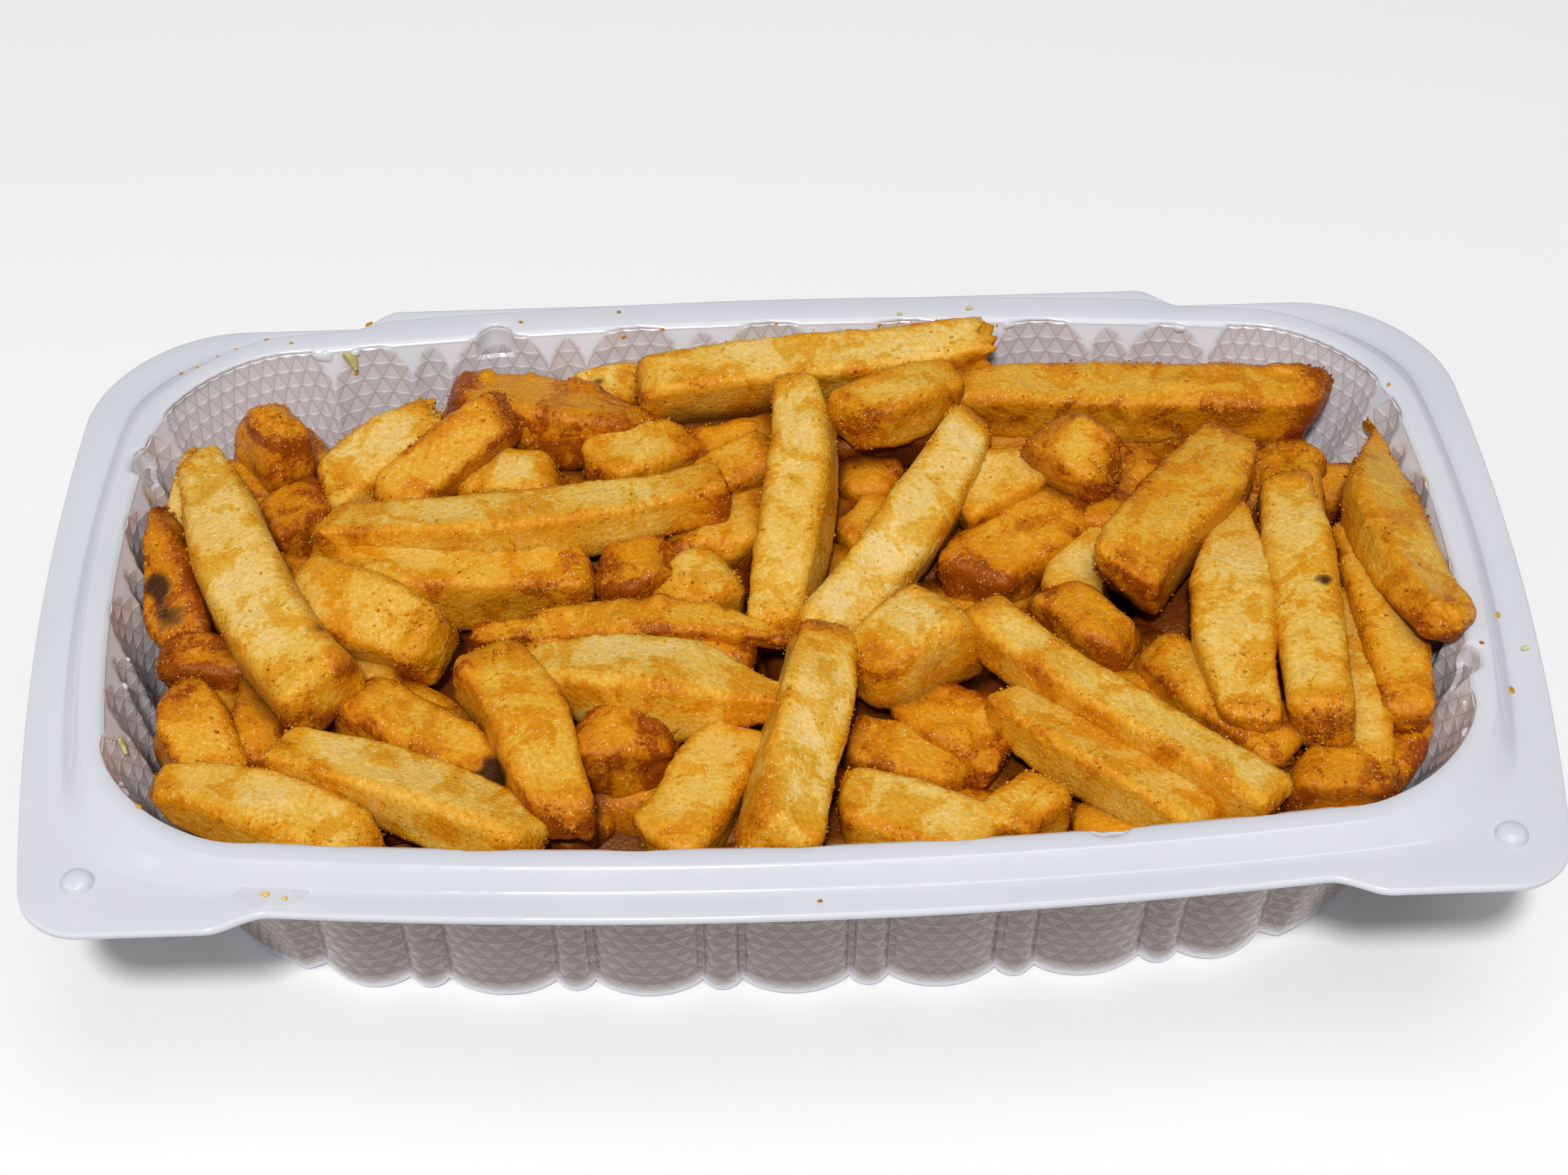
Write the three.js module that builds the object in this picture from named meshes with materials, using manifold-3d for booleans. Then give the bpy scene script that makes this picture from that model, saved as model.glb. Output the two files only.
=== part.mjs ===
// French fries heaped in a shallow thermoformed tray. Millimetres, +Z up.
// Origin: middle of the underside of the tray, at the centre of the flange in plan.
// +X runs along the tray, the corner ears with their snap buttons are on the -Y side.

import * as THREE from 'three';
import { mergeVertices } from 'three/addons/utils/BufferGeometryUtils.js';
import Module from 'manifold-3d';

const wasm = await Module();
wasm.setup();

// Driving dimensions.

const sheet = 0.7;              // thickness of the plastic
const flangeTop = 49;           // height of the flange over the underside
const rimTop = 52;              // height of the raised rim
const lipDrop = 1.2;            // turned-down edge round the flange
const lipFlare = 0.2;

const basin = {
  midY: 1.1,                    // the basin sits a little behind the middle of the flange
  mouth: { halfX: 108, halfY: 55.2, bowX: 6, bowY: 7, corner: 20 },
  foot: { halfX: 96.6, halfY: 43.2, bowX: 6, bowY: 6.5, corner: 26 },
  chamferDrop: 6,               // how far the plain band under the mouth comes down on a ridge
  chamferIn: 3.2,               // how far in it gets by then
  floorEdge: 2.6,               // rounding between wall and floor
  floorTip: [-11.3, 9.1],       // where the facets of the flat floor meet
};

const rim = {
  front: 3.8,                   // rim width at the front and at the ends
  backWide: 6.2,                // and along the middle of the back
  backNarrow: 4.6,
  roll: 0.7,                    // the inner edge is rolled over by this much
  rollDrop: 0.6,
  step: 2.2,                    // it falls to the flange over this width
};

const groove = { halfX: 114.4, halfY: 60.2, bowX: 6, bowY: 7, corner: 16, midY: -0.4 };

const flange = {
  halfX: 120,
  bowX: 6,
  frontEar: -71.6,
  frontMid: -72.7,
  frontMidBow: 4,
  earFrom: 82,                  // the front edge steps out to the ears between these
  earTo: 92,
  backMid: 72.6,
  backOuter: 68,
  flapFrom: 69,                 // the back edge steps in between these
  flapTo: 77,
  frontCorner: 9,
  backCorner: 24,
};

const button = { x: 112.7, y: -61.3, radius: 2.6, height: 1.4 };

// Lobes along the walls: width and how far they stand out of the ridges at the foot.
const longLobes = { wide: 18.3, narrow: 6.7, end: 14.5, wideDepth: 3.4, narrowDepth: 1.9, endDepth: 2.8 };
const shortLobes = { wide: 14.2, narrow: 6.6, end: 9.8, wideDepth: 2.8, narrowDepth: 1.9, endDepth: 2.4 };
const lobeMouthShare = 0.72;    // share of the depth left at the mouth
const cornerDepth = 2.6;

const fryClearance = 0.45;      // gap between the heap and the tray

// Height of the packed lower layers, and how far from the wall they reach it.
const coreSteps = [[43, 36], [42, 18], [37, 7], [26, fryClearance]];

// Plan outlines.

const smooth = (a, b, v) => {
  const t = Math.min(1, Math.max(0, (v - a) / (b - a)));
  return t * t * (3 - 2 * t);
};

// A rounded rectangle whose four sides bow outwards, as a signed distance: below 0 is inside.
const bowedRect = ({ halfX, halfY, bowX, bowY, corner, midY = 0 }, grow = 0) => (x, y) => {
  const v = y - midY;
  const sideX = halfX + grow + bowX * Math.max(0, 1 - (v / halfY) ** 2);
  const sideY = halfY + grow + bowY * Math.max(0, 1 - (x / halfX) ** 2);
  const r = corner + grow;
  const qx = Math.abs(x) - sideX + r;
  const qy = Math.abs(v) - sideY + r;
  return Math.hypot(Math.max(qx, 0), Math.max(qy, 0)) + Math.min(Math.max(qx, qy), 0) - r;
};

const flangeOutline = (x, y) => {
  const ax = Math.abs(x);
  const sideX = flange.halfX + flange.bowX * (1 - (y / 75) ** 2);
  const mid = flange.frontMid + flange.frontMidBow * (ax / flange.earFrom) ** 2;
  const front = THREE.MathUtils.lerp(mid, flange.frontEar, smooth(flange.earFrom, flange.earTo, ax));
  const back = THREE.MathUtils.lerp(flange.backMid, flange.backOuter, smooth(flange.flapFrom, flange.flapTo, ax));
  const r = y > 0 ? flange.backCorner : flange.frontCorner;
  const qx = ax - sideX + r;
  const qy = (y > 0 ? y - back : front - y) + r;
  return Math.hypot(Math.max(qx, 0), Math.max(qy, 0)) + Math.min(Math.max(qx, qy), 0) - r;
};

// The outer edge of the rim's flat top. Along the back it steps in at both ends.
const rimOutline = (x, y) => {
  const base = bowedRect({ ...basin.mouth, midY: basin.midY }, rim.front)(x, y);
  if (y < 30) return base;
  const ax = Math.abs(x);
  const width = THREE.MathUtils.lerp(rim.backWide, rim.backNarrow, smooth(flange.flapFrom, flange.flapTo, ax));
  return base - (width - rim.front) * smooth(30, 56, y);
};

// The shallow groove between the rim and the flange.
const grooveOutline = (x, y) => Math.max(
  Math.min(bowedRect(groove)(x, y), rimOutline(x, y) - rim.step),
  flangeOutline(x, y) + 0.7);

// Where a ray leaves an outline.
const reach = (outline, from, dir) => {
  let near = 0;
  let far = 220;
  for (let i = 0; i < 40; i++) {
    const mid = (near + far) / 2;
    if (outline(from[0] + dir[0] * mid, from[1] + dir[1] * mid) < 0) near = mid;
    else far = mid;
  }
  return near;
};

// Stations round the wall.

// One half of a wall, as lobes from the middle outwards: [width, depth].
const longWall = ({ wide, narrow, end, wideDepth, narrowDepth, endDepth }) => {
  const pair = [[narrow, narrowDepth], [wide, wideDepth]];
  const half = [...pair, ...pair, [narrow, narrowDepth], [end, endDepth]];
  return [...half.slice().reverse(), [wide, wideDepth], ...half];
};
const shortWall = ({ wide, narrow, end, wideDepth, narrowDepth, endDepth }) => {
  const half = [[wide, wideDepth], [narrow, narrowDepth], [end, endDepth]];
  return [...half.slice().reverse(), [narrow, narrowDepth], ...half];
};

// Places along a wall with the lobe's bulge there: 0 on a ridge, depth in the middle of a lobe.
const wallPlaces = (lobes, middle) => {
  const total = lobes.reduce((sum, [width]) => sum + width, 0);
  const places = [];
  let start = middle - total / 2;
  for (const [width, depth] of lobes) {
    const steps = width > 16 ? 4 : width > 12 ? 3 : 2;
    for (let i = 0; i < steps; i++) {
      const t = i / steps;
      places.push({ at: start + width * t, bulge: depth * (1 - (2 * t - 1) ** 2) ** 0.8 });
    }
    start += width;
  }
  places.push({ at: start, bulge: 0 });
  return places;
};

const alongX = wallPlaces(longWall(longLobes), 0);
const alongY = wallPlaces(shortWall(shortLobes), 5.8);
const [cornerX, cornerFront, cornerBack] = [alongX.at(-1).at, alongY[0].at, alongY.at(-1).at];

// Degrees round a corner, closer together where the ear turns.
const earTurns = [14, 27, 35, 40, 45, 51, 62, 76];
const backTurns = [14, 30, 46, 62, 77];

const cornerStations = (x, y, start, turns) => turns.map((turn) => {
  const a = THREE.MathUtils.degToRad(start + turn);
  const bulge = cornerDepth * Math.min(1, Math.min(turn, 90 - turn) / 12);
  return { from: [x, y], dir: [Math.cos(a), Math.sin(a)], bulge };
});

const mirrored = (turns) => turns.map((turn) => 90 - turn).reverse();

// Counterclockwise from the front end of the right wall.
const stations = [
  ...alongY.map(({ at, bulge }) => ({ from: [0, at], dir: [1, 0], bulge })),
  ...cornerStations(cornerX, cornerBack, 0, backTurns),
  ...alongX.slice().reverse().map(({ at, bulge }) => ({ from: [at, 0], dir: [0, 1], bulge })),
  ...cornerStations(-cornerX, cornerBack, 90, mirrored(backTurns)),
  ...alongY.slice().reverse().map(({ at, bulge }) => ({ from: [0, at], dir: [-1, 0], bulge })),
  ...cornerStations(-cornerX, cornerFront, 180, earTurns),
  ...alongX.map(({ at, bulge }) => ({ from: [at, 0], dir: [0, -1], bulge })),
  ...cornerStations(cornerX, cornerFront, 270, mirrored(earTurns)),
];

const mouthOutline = bowedRect({ ...basin.mouth, midY: basin.midY });
const footOutline = bowedRect({ ...basin.foot, midY: basin.midY + 0.5 });

const onOutline = (outline, z, offset = 0) => stations.map(({ from, dir }) => {
  const r = reach(outline, from, dir) + offset;
  return [from[0] + dir[0] * r, from[1] + dir[1] * r, z];
});

// The lobed wall at a height. Near the mouth a plain sloping band cuts the ridges away.
const wallReach = ({ from, dir, bulge }, z) => {
  const mouth = reach(mouthOutline, from, dir);
  const foot = reach(footOutline, from, dir);
  const up = (z - sheet) / (rimTop - sheet);
  const ridgeTop = mouth - basin.chamferIn + basin.chamferDrop * (mouth - basin.chamferIn - foot) / 46;
  const ridge = THREE.MathUtils.lerp(foot, ridgeTop, up);
  const lobed = ridge + bulge * THREE.MathUtils.lerp(1, lobeMouthShare, up);
  const band = mouth - basin.chamferIn * (rimTop - z) / basin.chamferDrop;
  return Math.min(Math.max(lobed, band), mouth + 0.4);
};

const wallRing = (z, offset = 0, level = z) => stations.map((station) => {
  const r = wallReach(station, level) + offset;
  return [station.from[0] + station.dir[0] * r, station.from[1] + station.dir[1] * r, z];
});

// Mesh helpers.

// Skins a stack of closed rings and closes each end with a fan to a tip.
// Seen from outside the first tip, the rings run counterclockwise. Each four-sided patch is
// folded along the diagonal that lies farther out in plan, or farther in when side is -1.
const skin = (rings, firstTip, lastTip, side = 1) => {
  const count = rings[0].length;
  const points = [...rings.flat(), firstTip, lastTip];
  const first = points.length - 2;
  const last = points.length - 1;
  const top = (rings.length - 1) * count;
  const faces = [];
  for (let i = 0; i < count; i++) {
    const j = (i + 1) % count;
    for (let r = 0; r < top; r += count) {
      const [a, b, c, d] = [r + i, r + j, r + count + j, r + count + i];
      const spread = (p, q) => Math.hypot(points[p][0] + points[q][0], points[p][1] + points[q][1]);
      if ((spread(a, c) - spread(b, d)) * side > 0) faces.push(a, c, b, a, d, c);
      else faces.push(a, d, b, b, d, c);
    }
    faces.push(first, i, j, last, top + j, top + i);
  }
  const geometry = new THREE.BufferGeometry();
  geometry.setAttribute('position', new THREE.Float32BufferAttribute(points.flat(), 3));
  geometry.setIndex(faces);
  return geometry;
};

const solidOf = (geometry) => {
  const bare = geometry.clone();
  bare.deleteAttribute('normal');
  bare.deleteAttribute('uv');
  const merged = mergeVertices(bare, 1e-4);
  return new wasm.Manifold(new wasm.Mesh({
    numProp: 3,
    vertProperties: new Float32Array(merged.attributes.position.array),
    triVerts: new Uint32Array(merged.index.array),
  }));
};

const geometryOf = (solid) => {
  const { vertProperties, triVerts } = solid.getMesh();
  const geometry = new THREE.BufferGeometry();
  geometry.setAttribute('position', new THREE.Float32BufferAttribute(vertProperties, 3));
  geometry.setIndex([...triVerts]);
  return geometry;
};

const tipOf = (ring, [x, y], lift = 0) => [x, y, ring[0][2] + lift];
const centre = [0, basin.midY];

// Tray.

const trayShell = () => {
  const bandFoot = rimTop - basin.chamferDrop;
  const edge = basin.floorEdge;
  const inside = [
    wallRing(sheet, -edge),
    wallRing(sheet + edge),
    wallRing(bandFoot),
    wallRing(rimTop - rim.rollDrop),
  ];
  const top = [
    onOutline(mouthOutline, rimTop, rim.roll),
    onOutline(rimOutline, rimTop),
    onOutline(grooveOutline, flangeTop),
    onOutline(flangeOutline, flangeTop),
    onOutline(flangeOutline, flangeTop - lipDrop, lipFlare),
  ];
  const under = [
    onOutline(flangeOutline, flangeTop - lipDrop, lipFlare - sheet),
    onOutline(flangeOutline, flangeTop - sheet, -sheet),
    onOutline(grooveOutline, flangeTop - sheet, -0.3),
    onOutline(rimOutline, rimTop - sheet, -0.4),
    wallRing(rimTop - rim.rollDrop - sheet, rim.roll + 0.3, rimTop - rim.rollDrop),
  ];
  const outside = [
    wallRing(bandFoot, sheet),
    wallRing(sheet + edge, sheet),
    wallRing(0, -edge, sheet),
  ];
  const rings = [...inside, ...top, ...under, ...outside];
  return solidOf(skin(rings, tipOf(rings[0], basin.floorTip), tipOf(rings.at(-1), basin.floorTip)));
};

// A low dome on each front ear, part of the same sheet.
const snapButton = (side) => {
  const profile = [[0, -sheet / 2], [1, -sheet / 2], [1, 0.1], [0.75, 0.75], [0, 1]]
    .map(([across, up]) => new THREE.Vector2(across * button.radius, up > 0 ? up * button.height : up));
  const dome = new THREE.LatheGeometry(profile, 12);
  dome.rotateX(Math.PI / 2);
  dome.translate(side * button.x, button.y, flangeTop);
  return solidOf(dome);
};

// Fries.

// Each row is one fry of the heap as it lies: both ends of its middle line (x, y, z), its width
// and height, roll in degrees, sideways bow (towards the left of its direction) and the share of
// the section that is left at each end.
const fries = [
  [-102, 33, 47, -77, -22, 48, 13, 11, 10, -3, 0.7, 0.95],
  [-111, 41, 41, -104, 22, 38, 10, 9, 0, 0, 0.75, 1],
  [-92, 40, 32, -89, 42, 49, 13, 9, 0, 0, 1, 0.75],
  [-79, 33, 40, -62, 48, 45, 12, 9, 0, 0, 1, 0.6],
  [-69, 28, 42, -49, 43, 49, 10, 8, 15, 0, 1, 0.9],
  [-57, 52, 44, -23, 43, 44, 12, 11, -10, -1.5, 0.8, 0.5],
  [-78, 18, 46, -12, 22, 49, 10, 9, -8, -4.5, 0.85, 0.8],
  [-78, 9, 42, -35, 7, 42, 11, 11, 0, 0, 1, 0.85],
  [-84, 6, 42, -60, -9, 44, 13, 12, 15, 0, 1, 0.85],
  [-113, 22, 43, -101, -3, 38, 9, 10, 20, 0, 0.4, 0.7],
  [-104, -8, 39, -90, -8, 39, 8, 8, 0, 0, 0.8, 1],
  [-102, -18, 42, -95, -33, 38, 11, 9, 0, 0, 0.7, 1],
  [-89, -14, 38, -87, -30, 38, 9, 8, 0, 0, 0.8, 1],
  [-103, -37, 41, -68, -53, 42, 11, 10, 0, 1.5, 0.7, 1],
  [-83, -33, 45, -44, -51, 42, 11, 9, -10, 1.5, 0.75, 0.9],
  [-72, -20, 41, -48, -38, 41, 10, 9, 0, 0, 1, 0.8],
  [-51, -17, 47, -37, -49, 45, 12, 10, 0, 1.5, 0.9, 0.8],
  [-51, -8, 45, 0, -14, 48, 7, 6, 0, 3, 0.5, 0.4],
  [-45, -18, 47, 1, -30, 48, 13, 11, -12, 0, 0.55, 0.4],
  [-35, -32, 43, -21, -33, 43, 11, 11, 0, 0, 1, 0.85],
  [-9, -34, 43, -21, -53, 43, 12, 10, 0, 0, 0.9, 1],
  [3, -23, 50, -3, -57, 46, 10, 10, -20, 0, 0.85, 1],
  [35, 35, 50, 5, -13, 46, 11, 10, -15, 1.5, 0.8, 0.9],
  [4, 42, 53, -2, -9, 46, 10, 10, 10, 2.4, 0.8, 0.9],
  [-22, 51, 45, 36, 56, 51, 8, 11, 8, 0, 0.95, 0.75],
  [13, 36, 52, 31, 43, 52, 10, 9, 0, 0, 0.9, 0.8],
  [33, 48, 45, 98, 44, 45, 9, 8, 0, 0, 1, 0.9],
  [47, 29, 52, 58, 22, 51, 12, 10, 10, 0, 0.8, 1],
  [66, 31, 43, 60, 21, 42, 9, 8, 0, 0, 0.9, 1],
  [80, 28, 48, 59, -4, 50, 13, 11, 0, 0, 0.85, 0.9],
  [33, 19, 45, 46, 28, 46, 12, 9, 0, 0, 0.9, 0.7],
  [33, 4, 41, 51, 19, 42, 13, 11, 0, 0, 1, 0.9],
  [56, 13, 42, 50, -1, 42, 9, 9, 0, 0, 0.9, 1],
  [12, -20, 48, 28, -12, 48, 13, 12, 0, 0, 0.75, 1],
  [33, -12, 50, 75, -50, 45, 9, 9, -8, -1, 0.9, 1],
  [36, -28, 45, 66, -51, 42, 12, 9, -10, 0, 0.7, 1],
  [46, -3, 43, 57, -13, 43, 9, 9, 0, 0, 0.9, 0.9],
  [62, -14, 42, 80, -37, 42, 11, 9, 0, 0, 0.8, 1],
  [79, 15, 47, 76, -34, 47, 13, 10, 0, -1.5, 0.45, 0.7],
  [89, 20, 48, 87, -36, 48, 11, 10, 10, 0, 0.75, 0.85],
  [99, 11, 44, 102, -31, 43, 10, 10, 0, 1.5, 0.7, 0.8],
  [96, -4, 42, 95, -40, 42, 9, 9, 0, 0, 1, 0.8],
  [110, 36, 46, 111, -19, 53, 11, 8, -15, -5.5, 0.25, 0.85],
  [101, -28, 36, 103, -34, 36, 9, 9, 0, 0, 1, 0.9],
  [83, -42, 41, 96, -43, 40, 9, 9, 0, 0, 1, 0.9],
  [21, -22, 40, 33, -35, 40, 13, 10, 0, 0, 0.9, 0.9],
  [10, -31, 40, 27, -38, 39, 10, 8, 0, 0, 1, 0.8],
  [9, -47, 43, 29, -54, 42, 12, 9, 0, 0, 0.9, 0.9],
  [40, -45, 42, 34, -52, 42, 11, 10, 0, 0, 0.9, 1],
  [47, -49, 37, 56, -48, 37, 9, 9, 0, 0, 1, 1],
  [-14, -46, 37, -4, -47, 37, 9, 9, 0, 0, 1, 1],
  [-37, 54, 41, -25, 54, 43, 11, 8, 0, 0, 0.7, 1],
  [-31, 34, 43, -18, 39, 44, 11, 9, 0, 0, 1, 0.75],
  [-55, 33, 41, -41, 33, 41, 9, 8, 0, 0, 0.8, 1],
  [-15, 38, 41, 0, 41, 41, 9, 8, 0, 0, 1, 1],
  [-10, 31, 41, -1, 37, 42, 10, 9, 0, 0, 1, 1],
  [-10, 26, 38, -1, 27, 38, 8, 8, 0, 0, 1, 1],
  [-18, 15, 41, -4, 19, 42, 11, 10, 0, 0, 0.85, 1],
  [-30, 6, 43, -20, 7, 43, 12, 11, 0, 0, 0.85, 0.8],
  [-20, 0, 43, -10, 4, 43, 13, 11, 0, 0, 0.85, 0.9],
  [12, 31, 40, 20, 30, 40, 8, 8, 0, 0, 1, 1],
  [12, 17, 40, 20, 23, 40, 8, 8, 0, 0, 1, 1],
  [-92, 23, 38, -82, 31, 39, 10, 8, 0, 0, 1, 0.8],
  [-22, 49, 37, 33, 50, 41, 10, 10, 0, 0, 1, 1],
  [9, 38, 43, 31, 42, 44, 9, 9, 0, 0, 1, 1],
  [36, 45, 37, 95, 42, 38, 10, 9, 0, 0, 1, 1],
];

const heapTolerance = 0.05;     // detail under this size is left out of the fused heap
const joinTolerance = 0.02;     // and edges under this size while it is being fused
const fryEnd = 0.05;            // share of the length that rounds each end off
const fryEndShare = 0.8;
const fryChamfer = 0.26;        // chamfer of the upper corners as a share of the smaller side
const fryMiddles = (length) => (length > 45 ? [0.33, 0.67] : length > 26 ? [0.5] : []);

const fry = ([x0, y0, z0, x1, y1, z1, width, height, roll, bow, first, last]) => {
  const start = new THREE.Vector3(x0, y0, z0);
  const end = new THREE.Vector3(x1, y1, z1);
  const along = end.clone().sub(start).normalize();
  const left = new THREE.Vector3(0, 0, 1).cross(along).normalize();
  const up = along.clone().cross(left);
  const turn = THREE.MathUtils.degToRad(roll);
  const cut = fryChamfer * Math.min(width, height);
  const [w, h] = [width / 2, height / 2];
  const section = [
    [w, h - cut], [w * 0.94, -h], [-w * 0.94, -h], [-w, h - cut], [cut - w, h], [w - cut, h],
  ].map(([a, b]) => [a * Math.cos(turn) - b * Math.sin(turn), a * Math.sin(turn) + b * Math.cos(turn)]);
  const rings = [0, fryEnd, ...fryMiddles(start.distanceTo(end)), 1 - fryEnd, 1].map((t) => {
    const taper = THREE.MathUtils.lerp(first, 1, smooth(0, 0.45, t))
      * THREE.MathUtils.lerp(1, last, smooth(0.55, 1, t));
    const share = taper * (t === 0 || t === 1 ? fryEndShare : 1);
    const middle = start.clone().lerp(end, t).addScaledVector(left, bow * 4 * t * (1 - t));
    return section.map(([a, b]) => middle.clone()
      .addScaledVector(left, a * share).addScaledVector(up, b * share).toArray());
  });
  return solidOf(skin(rings, start.toArray(), end.toArray()));
};

// The wall without its lobes, moved in by the gap that the heap keeps to the tray.
const ridges = stations.filter(({ bulge }, i) => bulge === 0 || i % 3 === 0)
  .map((station) => ({ ...station, bulge: 0 }));

const ridgeRing = (z, inset = fryClearance, level = z) => ridges.map((station) => {
  const r = wallReach(station, level) - inset;
  return [station.from[0] + station.dir[0] * r, station.from[1] + station.dir[1] * r, z];
});

// The space that the heap may fill: the basin, and everything above the rim.
const heapSpace = () => {
  const clear = rimTop + fryClearance;
  const rings = [
    ridgeRing(rimTop + 30, -30, rimTop),
    ridgeRing(clear, -30, rimTop),
    ridgeRing(clear, -rim.roll, rimTop),
    ridgeRing(rimTop - rim.rollDrop),
    ridgeRing(rimTop - basin.chamferDrop),
    ridgeRing(sheet + basin.floorEdge),
    ridgeRing(sheet + fryClearance, basin.floorEdge + fryClearance),
  ];
  return solidOf(skin(rings, tipOf(rings[0], centre), tipOf(rings.at(-1), centre), -1));
};

// The lower layers of the heap, packed solid and falling off towards the walls.
const heapCore = () => {
  const rings = [
    ...coreSteps.map(([z, inset]) => ridgeRing(z, inset)),
    ridgeRing(sheet + basin.floorEdge),
    ridgeRing(sheet + fryClearance, basin.floorEdge + fryClearance),
  ];
  return solidOf(skin(rings, tipOf(rings[0], centre, 0.5), tipOf(rings.at(-1), centre), -1));
};

const heap = () => {
  const pieces = [heapCore(), ...fries.map(fry)].map((piece) => piece.setTolerance(joinTolerance));
  const pile = pieces.reduce((whole, piece) => whole.add(piece));
  const parts = pile.intersect(heapSpace()).simplify(heapTolerance).decompose();
  return parts.reduce((best, part) => (part.volume() > best.volume() ? part : best));
};

// The part.

const meshOf = (name, solid, material) => {
  const mesh = new THREE.Mesh(geometryOf(solid), material);
  mesh.name = name;
  return mesh;
};

const plastic = new THREE.MeshStandardMaterial({ color: 0xdcdfe6, roughness: 0.25, metalness: 0 });
const friedPotato = new THREE.MeshStandardMaterial({ color: 0xd89a35, roughness: 0.55, metalness: 0 });

const part = new THREE.Group();
part.add(meshOf('tray', [-1, 1].map(snapButton).reduce((whole, dome) => whole.add(dome), trayShell()), plastic));
part.add(meshOf('fries', heap(), friedPotato));

export default part;
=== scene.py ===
import bpy
import math
import random
import numpy as np
from mathutils import Matrix, Vector
from mathutils.bvhtree import BVHTree


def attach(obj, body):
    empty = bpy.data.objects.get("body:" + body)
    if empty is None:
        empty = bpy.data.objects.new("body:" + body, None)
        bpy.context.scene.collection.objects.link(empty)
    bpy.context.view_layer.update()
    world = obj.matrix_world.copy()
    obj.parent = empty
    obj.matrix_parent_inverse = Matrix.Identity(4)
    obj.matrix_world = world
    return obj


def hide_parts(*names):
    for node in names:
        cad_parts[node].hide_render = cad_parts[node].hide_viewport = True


# French fries in a ribbed white plastic tray. Shapes are worked out in millimetres, objects are in metres.
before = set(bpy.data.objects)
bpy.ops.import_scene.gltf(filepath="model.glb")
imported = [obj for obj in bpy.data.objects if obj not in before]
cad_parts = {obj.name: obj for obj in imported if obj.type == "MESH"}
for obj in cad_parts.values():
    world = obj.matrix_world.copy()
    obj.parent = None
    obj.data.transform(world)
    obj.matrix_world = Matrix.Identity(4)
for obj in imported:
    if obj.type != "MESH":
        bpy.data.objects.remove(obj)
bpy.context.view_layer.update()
mm = 0.001
print("frame loaded")


def smoothStep(a, b, v):
    t = np.clip((v - a) / (b - a), 0, 1)
    return t * t * (3 - 2 * t)


def mixed(a, b, t):
    return a + (b - a) * t


def lumps(points, size, seed=0):
    # smooth noise from -1 to 1, its bumps about size apart
    q = points / size + seed * 17.31
    cell = np.floor(q).astype(np.int64)
    t = q - cell
    t = t * t * (3 - 2 * t)
    total = np.zeros(len(points))
    for corner in range(8):
        step = np.array([corner & 1, corner >> 1 & 1, corner >> 2 & 1])
        c = cell + step
        n = (c[:, 0] * 73856093) ^ (c[:, 1] * 19349663) ^ (c[:, 2] * 83492791) ^ (seed * 7919 + 101)
        n = ((n ^ (n >> 13)) * 1274126177) & 0x7FFFFFFF
        n = ((n ^ (n >> 15)) * 668265263) & 0x7FFFFFFF
        value = (n >> 7 & 0xFFFF) / 32767.5 - 1
        weight = np.prod(np.where(step == 1, t, 1 - t), axis=1)
        total += weight * value
    return total


def tubeFaces(levels, around, base=0, flip=False):
    # quads between rings of points that follow one another
    i = np.arange(around)
    j = (i + 1) % around
    a = base + (np.arange(levels - 1) * around)[:, None]
    b = a + around
    quads = [a + i, a + j, b + j, b + i] if flip else [a + i, b + i, b + j, a + j]
    return np.stack(quads, axis=2).reshape(-1, 4).tolist()


def addObject(name, data):
    added = bpy.data.objects.new(name, data)
    bpy.context.scene.collection.objects.link(added)
    return added


def makePiece(name, points, faces, material, values=None):
    mesh = bpy.data.meshes.new(name)
    mesh.from_pydata((np.asarray(points) * mm).tolist(), [], faces)
    for key, data in (values or {}).items():
        attribute = mesh.attributes.new(key, "FLOAT", "POINT")
        attribute.data.foreach_set("value", np.asarray(data, dtype=np.float32))
    mesh.polygons.foreach_set("use_smooth", [True] * len(mesh.polygons))
    mesh.update()
    piece = addObject(name, mesh)
    piece.data.materials.append(material)
    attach(piece, "root")
    return piece


def newMaterial(name):
    material = bpy.data.materials.new(name)
    material.use_nodes = True
    tree = material.node_tree
    tree.nodes.clear()
    output = tree.nodes.new("ShaderNodeOutputMaterial")
    shader = tree.nodes.new("ShaderNodeBsdfPrincipled")
    tree.links.new(shader.outputs["BSDF"], output.inputs["Surface"])
    return material, tree, shader


def connect(tree, value, socket):
    # sockets are linked, numbers and colours are set
    if isinstance(value, bpy.types.NodeSocket):
        tree.links.new(value, socket)
    else:
        socket.default_value = value


def setSockets(tree, node, **sockets):
    for key, value in sockets.items():
        connect(tree, value, node.inputs[key.replace("_", " ")])


def addNode(tree, kind, settings=None, **sockets):
    node = tree.nodes.new(kind)
    for key, value in (settings or {}).items():
        setattr(node, key, value)
    setSockets(tree, node, **sockets)
    return node


def addMath(tree, operation, a, b=0.0, clamp=False):
    node = addNode(tree, "ShaderNodeMath", {"operation": operation, "use_clamp": clamp})
    for socket, value in zip(node.inputs, (a, b)):
        connect(tree, value, socket)
    return node.outputs[0]


def plus(tree, a, b):
    return addMath(tree, "ADD", a, b)


def minus(tree, a, b):
    return addMath(tree, "SUBTRACT", a, b)


def times(tree, a, b):
    return addMath(tree, "MULTIPLY", a, b)


def addRamp(tree, factor, stops):
    node = tree.nodes.new("ShaderNodeValToRGB")
    ramp = node.color_ramp
    while len(ramp.elements) < len(stops):
        ramp.elements.new(1.0)
    for element, (place, colour) in zip(ramp.elements, stops):
        element.position = place
        element.color = (*colour, 1)
    tree.links.new(factor, node.inputs["Fac"])
    return node.outputs["Color"]


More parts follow.
